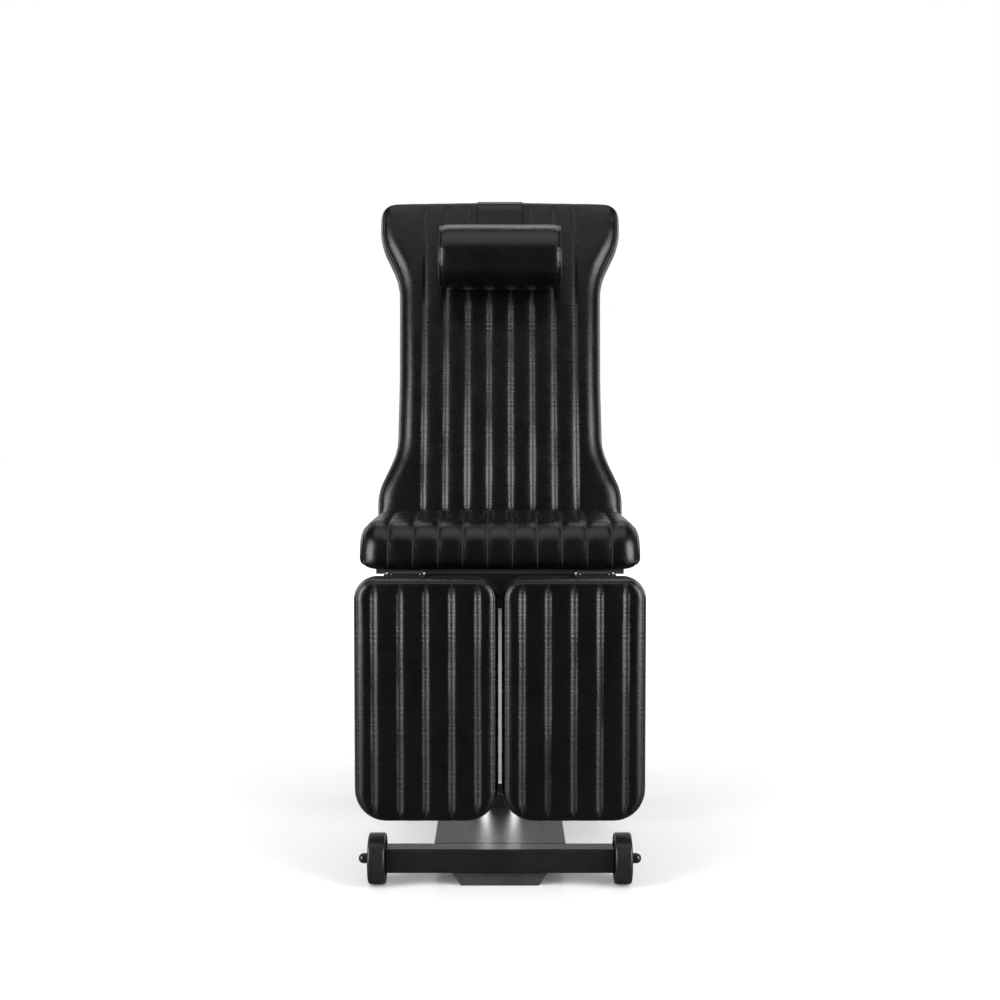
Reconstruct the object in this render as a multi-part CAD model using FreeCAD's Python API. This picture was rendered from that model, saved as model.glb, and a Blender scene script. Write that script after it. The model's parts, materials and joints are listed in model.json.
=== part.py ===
import FreeCAD, Part
import math
import os
from FreeCAD import Vector

# Tattoo chair: seat, reclining back and two leg rests on a foot-pumped column.
# Millimetres. The chair faces -Y, +X is on the right seen from the front, +Z is up.
# The origin is on the floor under the column, about which the seat swivels.

# Whole object
wheel_radius = 52.5
floor_clearance = 1.5
run_fit = 0.05
soft_gap = 0.3
tongue_clearance = 3.0
overrun = 5.0

# Square tube and base
bar_side = 50.0
bar_wall = 3.0
bar_corner = 5.0
bar_underside = 29.0
front_bar_half = 235.5
front_bar_front = -404.0
rear_bar_half = 262.0
rear_bar_rear = 427.0
end_plate_thick = 4.0
base_plate_half = 137.5
base_plate_thick = 8.0
flange_thick = 6.0

# Feet
foot_pad_depth = 30.0
foot_pad_front = -392.0
foot_pad_top_half = 100.0
foot_pad_bottom_half = 81.0
rear_foot_x = 225.0
rear_pad_radius = 24.0
rear_pad_height = 12.0
stud_radius = 6.0
stud_flange_radius = 17.0
stud_flange_thick = 5.0
stud_reach = 20.0

# Wheels and their axles
axle_radius = 6.0
axle_head_radius = 10.0
axle_head_thick = 6.0
wheel_inner_x = 237.0
wheel_width = 36.0
hub_radius = 37.0
hub_web = 10.0
hub_rim = 5.0
hub_boss_radius = 15.0
tread_shoulder = 5.0
washer_radius = 11.0
washer_gap = 0.3
washer_thick = 1.2
nut_radius = 10.5
nut_length = 19.8
nut_bore = 11.0

# Pump column
skirt_radius = 76.0
skirt_height = 31.0
sheet_wall = 2.5
collar_radius = 66.0
collar_height = 23.0
lower_sleeve_radius = 61.0
lower_sleeve_wall = 3.5
lower_sleeve_top = 344.0
lip_radius = 63.0
lip_height = 6.0
upper_sleeve_radius = 56.5
upper_sleeve_wall = 3.0
upper_sleeve_bottom = 130.0
cylinder_radius = 44.0
cylinder_bore = 36.0
cylinder_flange_radius = 71.0
cylinder_flange_thick = 10.0
cylinder_floor = 6.0
cylinder_top = 400.0
gland_height = 12.0
ram_radius = 22.0
piston_bottom = 100.0
piston_height = 25.0
flange_bolt_circle = 58.0
flange_bolt_radius = 5.0
bolt_head_ratio_share = 1.7
bolt_head_thick = 7.0
turntable_drop = 52.0
turntable_radius = 68.0
turntable_thick = 8.0
bearing_height = 6.0
bearing_bore = 40.0
spigot_radius = 18.0
shroud_radius = 78.0
shroud_drop = 32.0

# Foot pedal
pedal_pivot_x = 96.0
pedal_pivot_z = 104.0
pedal_y = 40.0
pedal_arm_width = 20.0
pedal_arm_thick = 12.0
pedal_hub_radius = 12.0
pedal_pin_radius = 5.0
pedal_cheek_thick = 6.0
pedal_cheek_gap = 2.0
pedal_cheek_half = 12.0
pedal_cheek_top = 118.0
pedal_pin_stick = 4.0
pedal_plate_start = 225.0
pedal_plate_end = 290.0
pedal_plate_width = 64.0
pedal_plate_thick = 6.0
pedal_pad_thick = 8.0

# Seat frame
frame_tube = 40.0
frame_low_tube = 20.0
frame_wall = 2.0
frame_corner = 4.0
rail_outer_x = 246.0
rail_front = -300.0
rail_rear = 80.0
mount_tube_front = -90.0
mount_tube_rear = 34.0
strut_tube_front = -220.0
mount_box_half = 85.0
mount_wall = 8.0
board_thick = 15.0
board_half = 262.0
board_front = -300.0
board_tongue_half = 226.0
board_notch_y = 38.0
board_rear = 160.0
board_bolt_radius = 4.0
board_bolt_head = 7.0
board_bolt_head_thick = 5.0
board_bolt_bite = 11.0
board_bolt_ys = (-245.0, 0.0, 62.0)

# Seat cushion
seat_half = 294.0
seat_front = -328.0
seat_height = 752.0
seat_thick = 97.0
seat_front_round = 45.0
seat_draw_in = 14.0
seat_belly = 22.0
seat_side_round = 24.0
seat_tongue_half = 231.0
seat_notch_y = 46.0
seat_side_panel = 57.975
seat_line_count = 10
line_depth = 6.0

# Back hinge and back frame
back_lean = 15.0
back_hinge_y = 127.6
back_hinge_drop = 92.0
back_surface = 92.0
back_cushion_thick = 70.0
back_board_thick = 15.0
back_tube = 25.0
back_tube_corner = 3.0
back_bottom = 50.0
hinge_pin_radius = 8.0
hinge_eye_radius = 18.0
ear_thick = 6.0
ear_foot_y = 20.0
ear_gap = 2.0
pin_head_radius = 13.0
pin_head_thick = 4.0
back_arm_top = 150.0
back_cross_bottom = 100.0
back_upright_x = 165.0
back_upright_top = 745.0
back_upper_cross = 700.0
back_board_inset = 20.0
torque_tube_reach = 45.0
torque_tube_radius = 9.0
torque_tube_wall = 2.0

# Back cushion outline, half width and height along the back from the hinge
back_top_half = 294.5
back_top_corner = 851.5
back_top_crown = 5.0
back_top_bend = 751.0
back_upper_waist = 647.0
back_upper_waist_half = 244.9
back_waist = 390.0
back_waist_half = 241.7
back_lower_waist = 224.0
back_lower_waist_half = 243.9
back_hip = 123.0
back_hip_half = 290.2
back_bottom_half = 289.0
back_top_round = 24.0
back_crown_round = 2000.0
back_bend_round = 70.0
back_upper_round = 60.0
back_waist_round = 3000.0
back_hip_round = 80.0
back_bottom_round = 22.0
back_side_panel = 60.05
back_line_count = 8
cushion_edge = 16.0
cushion_back_edge = 5.0
trim_allowance = 3.0

# Headrest bolster and strap, heights along the back from the hinge
bolster_radius = 77.0
bolster_half = 147.0
bolster_edge = 12.0
bolster_height = 671.0
strap_half = 56.5
strap_thick = 2.5
strap_front_end = 631.0
strap_rear_end = 765.0
strap_plate_height = 24.0
strap_plate_thick = 3.0

# Leg rests
leg_hinge_y = -340.0
leg_split = 3.5
leg_width = 296.0
leg_bottom = 140.0
leg_top_rise = 4.0
leg_face = -428.0
leg_cushion_thick = 62.0
leg_board_thick = 12.0
leg_board_inset = 22.0
leg_top_round = 45.0
leg_bottom_round = 65.0
leg_side_panel = 42.0
leg_line_count = 5
leg_pin_radius = 6.0
leg_barrel_radius = 12.0
leg_barrel_start = 168.0
leg_barrel_end = 226.0
leg_ear_inner = 160.0
leg_ear_outer = 228.0
leg_ear_radius = 13.0
leg_ear_foot = 4.0
leg_pin_head = 9.0
leg_pin_head_thick = 4.0
leg_tube_x = 202.0
leg_tube_width = 50.0
leg_tube_depth = 20.0
leg_tube_bottom = 300.0
leg_tube_gap = 1.0
leg_plate_half = 80.0
leg_plate_height = 60.0

# Gas struts: cylinder pivot and rod pivot
strut_radius = 11.0
strut_wall = 1.5
strut_eye_radius = 10.0
strut_eye_half = 6.0
strut_pin_radius = 5.0
strut_rod_radius = 5.0
strut_piston_thick = 10.0
strut_rod_room = 28.0
strut_guide = 20.0
strut_head_room = 8.0
strut_neck = 5.0
lug_thick = 5.0
lug_gap = 1.5
lug_stub = 3.0
leg_strut_x = 185.0
leg_strut_y = -80.0
leg_strut_drop = 55.0
leg_rod_back = 22.0
leg_rod_drop = 150.0
leg_travel = 90.0
back_strut_x = 130.0
back_strut_y = -200.0
back_strut_drop = 40.0
back_rod_back = 45.0
back_rod_drop = 75.0
back_travel = 75.0

# Release levers under the seat rails
lever_x = 262.0
lever_drop = 14.0
lever_rod_radius = 6.0
lever_hub_radius = 11.0
lever_hub_width = 12.0
lever_length = 120.0
lever_pin_radius = 5.0
lever_grip_radius = 9.0
lever_grip_length = 55.0
lever_block_width = 22.0
lever_block_depth = 26.0
leg_lever_y = -110.0
recline_lever_y = 40.0

# Sizes that follow from the ones above
axle_z = wheel_radius + floor_clearance
bar_top = bar_underside + bar_side
axle_y = front_bar_front + bar_side / 2
front_bar_rear = front_bar_front + bar_side
rear_bar_front = rear_bar_rear - bar_side
wheel_outer_x = wheel_inner_x + wheel_width
frame_top = seat_height - seat_thick - board_thick
frame_underside = frame_top - frame_tube
low_tube_bottom = frame_top - frame_low_tube
rail_inner_x = rail_outer_x - frame_tube
board_top = frame_top + board_thick
turntable_bottom = frame_underside - turntable_drop
turntable_top = turntable_bottom + turntable_thick
bearing_top = turntable_top + bearing_height
upper_plate_bottom = bearing_top + soft_gap
upper_plate_top = upper_plate_bottom + turntable_thick
back_board_front = back_surface - back_cushion_thick
back_frame_front = back_board_front - back_board_thick
back_frame_rear = back_frame_front - back_tube
back_arm_outer = rail_outer_x - ear_gap
back_arm_inner = back_arm_outer - ear_thick
back_hinge_z = seat_height - back_hinge_drop
leg_hinge_z = frame_top
leg_top = leg_hinge_z + leg_top_rise
leg_ear_bottom = frame_underside + leg_ear_foot
leg_strut_z = frame_underside - leg_strut_drop
back_strut_z = frame_underside - back_strut_drop
lever_z = frame_underside - lever_drop
leg_centre = leg_split + leg_width / 2
leg_back = leg_face + leg_cushion_thick
leg_board_back = leg_back + leg_board_thick
sleeve_bore = lower_sleeve_radius - lower_sleeve_wall
seat_line_pitch = (seat_half - seat_side_panel) * 2 / (seat_line_count - 1)
back_line_pitch = (back_waist_half - back_side_panel) * 2 / (back_line_count - 1)
leg_line_pitch = (leg_width - leg_side_panel * 2) / (leg_line_count - 1)

x_axis = Vector(1, 0, 0)


def box(low, high):
    return Part.makeBox(high[0] - low[0], high[1] - low[1], high[2] - low[2], Vector(*low))


def rod(radius, start, end):
    start = Vector(*start)
    run = Vector(*end).sub(start)
    return Part.makeCylinder(radius, run.Length, start, run)


def tube(radius, bore, start, end):
    return rod(radius, start, end).cut(rod(bore, start, end))


def rounded_bar(low, high, radius, along):
    """A bar whose four long edges, along axis number along, are rounded."""
    bar = box(low, high)
    long_edges = [e for e in bar.Edges
                  if abs(abs(e.tangentAt(e.FirstParameter)[along]) - 1) < 0.5]
    return bar.makeFillet(radius, long_edges)


def square_tube(low, high, wall, corner, along):
    """A rolled box tube, open at both ends along axis number along."""
    inner_low = [low[i] + wall for i in range(3)]
    inner_high = [high[i] - wall for i in range(3)]
    inner_low[along] = low[along] - overrun
    inner_high[along] = high[along] + overrun
    inner = rounded_bar(inner_low, inner_high, corner - wall, along)
    return rounded_bar(low, high, corner, along).cut(inner)


def plate(points, x_from, x_to):
    """A flat plate of constant thickness along X from (y, z) points."""
    corners = [Vector(x_from, y, z) for y, z in points]
    face = Part.Face(Part.makePolygon(corners + corners[:1]))
    return face.extrude(Vector(x_to - x_from, 0, 0))


def join(shapes):
    return shapes[0].multiFuse(shapes[1:]).removeSplitter()


def mirrored(shape):
    return shape.mirror(Vector(0, 0, 0), x_axis)


def both_sides(shape):
    return Part.makeCompound([shape, mirrored(shape)])


def rounded_outline(points, radii, to_vector):
    """A closed wire through corner points, each corner rounded by a tangent arc."""
    count = len(points)
    starts = []
    ends = []
    middles = []
    for i in range(count):
        corner = Vector(points[i][0], points[i][1], 0)
        before = Vector(*points[i - 1], 0).sub(corner).normalize()
        after = Vector(*points[(i + 1) % count], 0).sub(corner).normalize()
        half = before.getAngle(after) / 2
        reach = radii[i] / math.tan(half)
        inward = before.add(after).normalize()
        starts.append(corner + before * reach)
        ends.append(corner + after * reach)
        middles.append(corner + inward * (radii[i] / math.sin(half) - radii[i]))
    edges = []
    for i in range(count):
        arc_points = [to_vector(p.x, p.y) for p in (starts[i], middles[i], ends[i])]
        edges.append(Part.Arc(*arc_points).toShape())
        next_start = starts[(i + 1) % count]
        edges.append(Part.makeLine(arc_points[2], to_vector(next_start.x, next_start.y)))
    return Part.Wire(edges)


def round_rim(solid, inside, radius):
    """Round every edge whose middle lies where inside(point) is true."""
    rims = [e for e in solid.Edges if inside(e.CenterOfMass)]
    return solid.makeFillet(radius, rims)


def line_places(centre, pitch, count):
    first = centre - pitch * (count - 1) / 2
    return [first + pitch * i for i in range(count)]


def channel_profile(lines, low_x, high_x, back, front, depth, to_vector):
    """The section across sewn channels: a flat back and one crown per channel."""
    stops = [low_x] + lines + [high_x]
    edges = []
    for i in range(len(stops) - 1):
        left = Vector(stops[i], front - depth, 0)
        right = Vector(stops[i + 1], front - depth, 0)
        top = Vector((stops[i] + stops[i + 1]) / 2, front, 0)
        arc = [to_vector(p.x, p.y) for p in (left, top, right)]
        edges.append(Part.Arc(*arc).toShape())
    corners = [(high_x, front - depth), (high_x, back), (low_x, back), (low_x, front - depth)]
    for a, b in zip(corners, corners[1:]):
        edges.append(Part.makeLine(to_vector(*a), to_vector(*b)))
    return Part.Face(Part.Wire(edges))


def channelled_pad(outline, lines, low_x, high_x, face_y, thick, low_z, high_z):
    """A sewn pad that faces -Y: a rounded slab cut to the crowns of its channels."""
    back_y = face_y + thick
    slab = Part.Face(outline).extrude(Vector(0, -thick - trim_allowance, 0))
    slab = round_rim(slab, lambda p: p.y < face_y, cushion_edge)
    slab = round_rim(slab, lambda p: abs(p.y - back_y) < soft_gap, cushion_back_edge)
    section = channel_profile(lines, low_x - overrun, high_x + overrun, -back_y - overrun,
                              -face_y, line_depth, lambda x, t: Vector(x, -t, low_z - overrun))
    crowns = section.extrude(Vector(0, 0, high_z - low_z + overrun * 2))
    return slab.common(crowns)


parts = {}


def base_parts():
    half_tube = front_bar_half - end_plate_thick
    parts["front_crossbar"] = square_tube((-half_tube, front_bar_front, bar_underside),
                                          (half_tube, front_bar_rear, bar_top), bar_wall,
                                          bar_corner, 0)
    rear_tube = rear_bar_half - end_plate_thick
    parts["rear_crossbar"] = square_tube((-rear_tube, rear_bar_front, bar_underside),
                                         (rear_tube, rear_bar_rear, bar_top), bar_wall,
                                         bar_corner, 0)
    front_end = rounded_bar((half_tube, front_bar_front, bar_underside),
                            (front_bar_half, front_bar_rear, bar_top), bar_corner, 0)
    front_end = front_end.cut(rod(axle_radius, (half_tube - overrun, axle_y, axle_z),
                                  (front_bar_half + overrun, axle_y, axle_z)))
    rear_end = rounded_bar((rear_tube, rear_bar_front, bar_underside),
                           (rear_bar_half, rear_bar_rear, bar_top), bar_corner, 0)
    parts["crossbar_end_plates"] = Part.makeCompound(
        [front_end, mirrored(front_end), rear_end, mirrored(rear_end)])

    plate_low = bar_top - base_plate_thick
    top_plate = box((-base_plate_half, front_bar_rear, plate_low),
                    (base_plate_half, rear_bar_front, bar_top))
    parts["base_plate"] = top_plate.cut(flange_bolt_shanks())
    flange = box((base_plate_half - flange_thick, front_bar_rear, bar_underside),
                 (base_plate_half, rear_bar_front, plate_low))
    parts["base_side_flanges"] = both_sides(flange)

    pad_rear = foot_pad_front + foot_pad_depth
    pad_corners = [(-foot_pad_bottom_half, 0), (foot_pad_bottom_half, 0),
                   (foot_pad_top_half, bar_underside), (-foot_pad_top_half, bar_underside)]
    pad_wire = [Vector(x, foot_pad_front, z) for x, z in pad_corners]
    pad_face = Part.Face(Part.makePolygon(pad_wire + pad_wire[:1]))
    parts["front_foot_pad"] = pad_face.extrude(Vector(0, pad_rear - foot_pad_front, 0))

    rear_y = rear_bar_front + bar_side / 2
    stud_top = bar_underside + stud_reach
    flange_low = rear_pad_height
    stud = rod(stud_radius, (rear_foot_x, rear_y, flange_low), (rear_foot_x, rear_y, stud_top))
    stud_flange = rod(stud_flange_radius, (rear_foot_x, rear_y, flange_low),
                      (rear_foot_x, rear_y, flange_low + stud_flange_thick))
    stud = join([stud, stud_flange])
    parts["rear_foot_studs"] = both_sides(stud)
    parts["rear_crossbar"] = parts["rear_crossbar"].cut(parts["rear_foot_studs"])
    pad = rod(rear_pad_radius, (rear_foot_x, rear_y, 0), (rear_foot_x, rear_y, rear_pad_height))
    parts["rear_foot_pads"] = both_sides(pad)


def flange_bolt_places():
    turns = [math.radians(45 + 90 * i) for i in range(4)]
    return [(flange_bolt_circle * math.cos(a), flange_bolt_circle * math.sin(a)) for a in turns]


def flange_bolt_shanks():
    low = bar_top - base_plate_thick
    high = bar_top + cylinder_flange_thick - sheet_wall
    shanks = [rod(flange_bolt_radius, (x, y, low), (x, y, high)) for x, y in flange_bolt_places()]
    return Part.makeCompound(shanks)


def wheel_parts():
    start = (front_bar_half - end_plate_thick - axle_head_thick, axle_y, axle_z)
    head_end = (front_bar_half - end_plate_thick, axle_y, axle_z)
    nut_start = wheel_outer_x + washer_gap + washer_thick
    shaft = rod(axle_radius, head_end, (nut_start + nut_bore, axle_y, axle_z))
    bolt = join([rod(axle_head_radius, start, head_end), shaft])
    parts["wheel_axle_bolts"] = both_sides(bolt)

    dome_centre = nut_start + nut_length - nut_radius
    flange = rod(washer_radius, (nut_start - washer_thick, axle_y, axle_z),
                 (nut_start, axle_y, axle_z))
    base = rod(nut_radius, (nut_start, axle_y, axle_z), (dome_centre, axle_y, axle_z))
    dome = Part.makeSphere(nut_radius, Vector(dome_centre, axle_y, axle_z))
    dome = dome.common(rod(nut_radius * 2, (dome_centre, axle_y, axle_z),
                           (dome_centre + nut_length, axle_y, axle_z)))
    nut = join([flange, base, dome])
    nut = nut.cut(rod(axle_radius, (wheel_outer_x, axle_y, axle_z),
                      (nut_start + nut_bore, axle_y, axle_z)))
    parts["axle_dome_nuts"] = both_sides(nut)

    rim = tube(wheel_radius, hub_radius, (wheel_inner_x, axle_y, axle_z),
               (wheel_outer_x, axle_y, axle_z))
    tread_edges = [e for e in rim.Edges
                   if isinstance(e.Curve, Part.Circle) and e.Curve.Radius > hub_radius + overrun]
    rim = rim.makeFillet(tread_shoulder, tread_edges)
    web_inset = (wheel_width - hub_web) / 2
    web = rod(hub_radius, (wheel_inner_x + web_inset, axle_y, axle_z),
              (wheel_outer_x - web_inset, axle_y, axle_z))
    hub_rim_ring = tube(hub_radius, hub_radius - hub_rim,
                        (wheel_inner_x + tread_shoulder / 2, axle_y, axle_z),
                        (wheel_outer_x - tread_shoulder / 2, axle_y, axle_z))
    boss = rod(hub_boss_radius, (front_bar_half + washer_gap, axle_y, axle_z),
               (wheel_outer_x, axle_y, axle_z))
    hub = join([web, hub_rim_ring, boss])
    hub = hub.cut(rod(axle_radius + run_fit, (front_bar_half, axle_y, axle_z),
                      (wheel_outer_x + overrun, axle_y, axle_z)))
    for side, turn in (("right", lambda s: s), ("left", mirrored)):
        parts["wheel_" + side + "_tyre"] = turn(rim)
        parts["wheel_" + side + "_hub"] = turn(hub)


def pump_parts():
    low = bar_top - base_plate_thick
    head_radius = flange_bolt_radius * bolt_head_ratio_share
    bolts = []
    for x, y in flange_bolt_places():
        head = rod(head_radius, (x, y, low - bolt_head_thick), (x, y, low))
        shank = rod(flange_bolt_radius, (x, y, low),
                    (x, y, bar_top + cylinder_flange_thick - sheet_wall))
        bolts.append(join([head, shank]))
    parts["pump_flange_bolts"] = Part.makeCompound(bolts)

    flange_top = bar_top + cylinder_flange_thick
    body = join([rod(cylinder_flange_radius, (0, 0, bar_top), (0, 0, flange_top)),
                 rod(cylinder_radius, (0, 0, flange_top), (0, 0, cylinder_top))])
    body = body.cut(rod(cylinder_bore, (0, 0, flange_top + cylinder_floor),
                        (0, 0, cylinder_top + overrun)))
    parts["pump_cylinder"] = body.cut(flange_bolt_shanks())
    parts["cylinder_gland"] = tube(cylinder_radius, ram_radius + run_fit, (0, 0, cylinder_top),
                                   (0, 0, cylinder_top + gland_height))
    sleeve = tube(lower_sleeve_radius, sleeve_bore, (0, 0, flange_top), (0, 0, lower_sleeve_top))
    lip = tube(lip_radius, sleeve_bore, (0, 0, lower_sleeve_top - lip_height),
               (0, 0, lower_sleeve_top))
    parts["lower_sleeve"] = join([sleeve, lip])
    skirt_top = bar_top + skirt_height
    cup = rod(skirt_radius, (0, 0, bar_top), (0, 0, skirt_top))
    cup = cup.cut(rod(skirt_radius - sheet_wall, (0, 0, bar_top - overrun),
                      (0, 0, skirt_top - sheet_wall)))
    collar = tube(collar_radius, lower_sleeve_radius, (0, 0, skirt_top - sheet_wall),
                  (0, 0, skirt_top + collar_height))
    cover = join([cup, collar])
    parts["pump_skirt"] = cover.cut(rod(lower_sleeve_radius, (0, 0, bar_top - overrun),
                                        (0, 0, skirt_top + overrun)))

    piston_top = piston_bottom + piston_height
    parts["pump_piston"] = rod(cylinder_bore - run_fit, (0, 0, piston_bottom), (0, 0, piston_top))
    parts["pump_ram"] = rod(ram_radius, (0, 0, piston_top), (0, 0, turntable_bottom))
    parts["upper_sleeve"] = tube(upper_sleeve_radius, upper_sleeve_radius - upper_sleeve_wall,
                                 (0, 0, upper_sleeve_bottom), (0, 0, turntable_bottom))
    spigot = rod(spigot_radius, (0, 0, turntable_top), (0, 0, upper_plate_top))
    lower_disc = rod(turntable_radius, (0, 0, turntable_bottom), (0, 0, turntable_top))
    parts["turntable_lower"] = join([lower_disc, spigot])
    parts["turntable_bearing"] = tube(turntable_radius, bearing_bore, (0, 0, turntable_top),
                                      (0, 0, bearing_top))
    parts["turntable_upper"] = tube(turntable_radius, spigot_radius + run_fit,
                                    (0, 0, upper_plate_bottom), (0, 0, upper_plate_top))
    parts["turntable_shroud"] = tube(shroud_radius, shroud_radius - sheet_wall,
                                     (0, 0, upper_plate_top - shroud_drop), (0, 0, upper_plate_top))


def pedal_parts():
    arm_low = pedal_pivot_z - pedal_arm_thick / 2
    arm_high = pedal_pivot_z + pedal_arm_thick / 2
    arm_near = pedal_y - pedal_arm_width / 2
    arm_far = pedal_y + pedal_arm_width / 2
    arm = box((pedal_pivot_x, arm_near, arm_low), (pedal_plate_end, arm_far, arm_high))
    hub = rod(pedal_hub_radius, (pedal_pivot_x, arm_near, pedal_pivot_z),
              (pedal_pivot_x, arm_far, pedal_pivot_z))
    plate_near = pedal_y - pedal_plate_width / 2
    plate_far = pedal_y + pedal_plate_width / 2
    tread = box((pedal_plate_start, plate_near, arm_high - pedal_plate_thick),
                (pedal_plate_end, plate_far, arm_high))
    lever = join([arm, hub, tread])
    lever = lever.cut(rod(pedal_pin_radius + run_fit,
                          (pedal_pivot_x, arm_near - overrun, pedal_pivot_z),
                          (pedal_pivot_x, arm_far + overrun, pedal_pivot_z)))
    parts["pedal_lever"] = lever
    pad = box((pedal_plate_start, plate_near, arm_high),
              (pedal_plate_end, plate_far, arm_high + pedal_pad_thick))
    rim_edges = [e for e in pad.Edges if e.CenterOfMass.z > arm_high + pedal_pad_thick / 4]
    parts["pedal_pad"] = pad.makeFillet(pedal_pad_thick / 4, rim_edges)

    cheeks = []
    for side in (-1, 1):
        inner = pedal_y + side * (pedal_arm_width / 2 + pedal_cheek_gap)
        outer = inner + side * pedal_cheek_thick
        cheek = box((pedal_pivot_x - pedal_cheek_half, min(inner, outer), bar_top),
                    (pedal_pivot_x + pedal_cheek_half, max(inner, outer), pedal_cheek_top))
        cheeks.append(cheek)
    pin_half = pedal_arm_width / 2 + pedal_cheek_gap + pedal_cheek_thick + pedal_pin_stick
    pin = rod(pedal_pin_radius, (pedal_pivot_x, pedal_y - pin_half, pedal_pivot_z),
              (pedal_pivot_x, pedal_y + pin_half, pedal_pivot_z))
    parts["pedal_bracket"] = Part.makeCompound([c.cut(pin) for c in cheeks])
    parts["pedal_pivot_pin"] = pin


def strut_run(pivot, reach_back, reach_drop, hinge, turn):
    """Rod pivot and strut line at rest, and the strut length after the turn."""
    rest = Vector(0, hinge[0] + reach_back, hinge[1] - reach_drop)
    c = math.cos(math.radians(turn))
    s = math.sin(math.radians(turn))
    moved = Vector(0, hinge[0] + reach_back * c - reach_drop * s,
                   hinge[1] - reach_back * s - reach_drop * c)
    start = Vector(0, pivot[0], pivot[1])
    return rest, rest.sub(start), moved.sub(start)


def strut(name, x, pivot, reach_back, reach_drop, hinge, turn):
    """A gas strut: cylinder with its eye on pivot, rod with its eye on the moving lug."""
    rest, line, moved_line = strut_run(pivot, reach_back, reach_drop, hinge, turn)
    start = Vector(x, pivot[0], pivot[1])
    way = Vector(line).normalize()
    shortest = min(line.Length, moved_line.Length)
    longest = max(line.Length, moved_line.Length)
    body_end = shortest - strut_rod_room
    rod_length = longest - body_end + strut_guide
    inner = strut_radius - strut_wall
    barrel_start = strut_eye_radius + strut_neck
    barrel = Part.makeCylinder(strut_radius, body_end - barrel_start,
                               start + way * barrel_start, way)
    eye = rod(strut_eye_radius, (x - strut_eye_half, pivot[0], pivot[1]),
              (x + strut_eye_half, pivot[0], pivot[1]))
    neck = Part.makeCylinder(strut_rod_radius, barrel_start, start, way)
    chamber = Part.makeCylinder(inner, body_end - strut_head_room * 2 - barrel_start,
                                start + way * (barrel_start + strut_head_room), way)
    guide = Part.makeCylinder(strut_rod_radius + run_fit, strut_head_room * 2,
                              start + way * (body_end - strut_head_room - overrun), way)
    body = join([barrel, eye, neck]).cut(chamber).cut(guide)
    body = body.cut(rod(strut_pin_radius + run_fit, (x - strut_eye_radius, pivot[0], pivot[1]),
                        (x + strut_eye_radius, pivot[0], pivot[1])))
    end = Vector(x, rest.y, rest.z)
    stem = Part.makeCylinder(strut_rod_radius, rod_length, end - way * rod_length, way)
    piston = Part.makeCylinder(inner - run_fit, strut_piston_thick, end - way * rod_length, way)
    rod_eye = rod(strut_eye_radius, (x - strut_eye_half, rest.y, rest.z),
                  (x + strut_eye_half, rest.y, rest.z))
    inner_rod = join([stem, piston, rod_eye])
    inner_rod = inner_rod.cut(rod(strut_pin_radius, (x - strut_eye_radius, rest.y, rest.z),
                                  (x + strut_eye_radius, rest.y, rest.z)))
    parts[name + "_cylinder"] = body
    parts[name + "_rod"] = inner_rod
    swing = math.degrees(math.atan2(moved_line.z, moved_line.y) - math.atan2(line.z, line.y))
    swing = (swing + 180) % 360 - 180
    print(name, "pivot", pivot, "way", round(way.y, 6), round(way.z, 6),
          "swing", round(swing, 4), "stroke", round(moved_line.Length - line.Length, 4),
          "rest", round(line.Length, 3))


def lug_pair(x, pivot, points):
    """Two cheek plates beside a strut eye, joined to their carrier along the outline."""
    near = strut_eye_half + lug_gap
    cheeks = []
    for side in (-1, 1):
        cheek = plate(points, x + side * near, x + side * (near + lug_thick))
        disc = rod(strut_eye_radius, (x + side * near, pivot[0], pivot[1]),
                   (x + side * (near + lug_thick), pivot[0], pivot[1]))
        cheeks.append(join([cheek, disc]))
    return cheeks


def lug_stubs(x, pivot):
    near = strut_eye_half + lug_gap
    stubs = []
    for side in (-1, 1):
        stub = rod(strut_pin_radius, (x + side * near, pivot[0], pivot[1]),
                   (x + side * (near + lug_thick + lug_stub), pivot[0], pivot[1]))
        stubs.append(stub)
    return stubs


def strut_pin(x, pivot):
    half = strut_eye_half + lug_gap + lug_thick + lug_stub
    return rod(strut_pin_radius, (x - half, pivot[0], pivot[1]), (x + half, pivot[0], pivot[1]))


def hanging_lug(x, pivot, tube_front, tube_rear, tube_bottom):
    points = [(tube_front, tube_bottom), (tube_rear, tube_bottom),
              (pivot[0] + strut_eye_radius, pivot[1]), (pivot[0] - strut_eye_radius, pivot[1])]
    pin = strut_pin(x, pivot)
    return [cheek.cut(pin) for cheek in lug_pair(x, pivot, points)]


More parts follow.
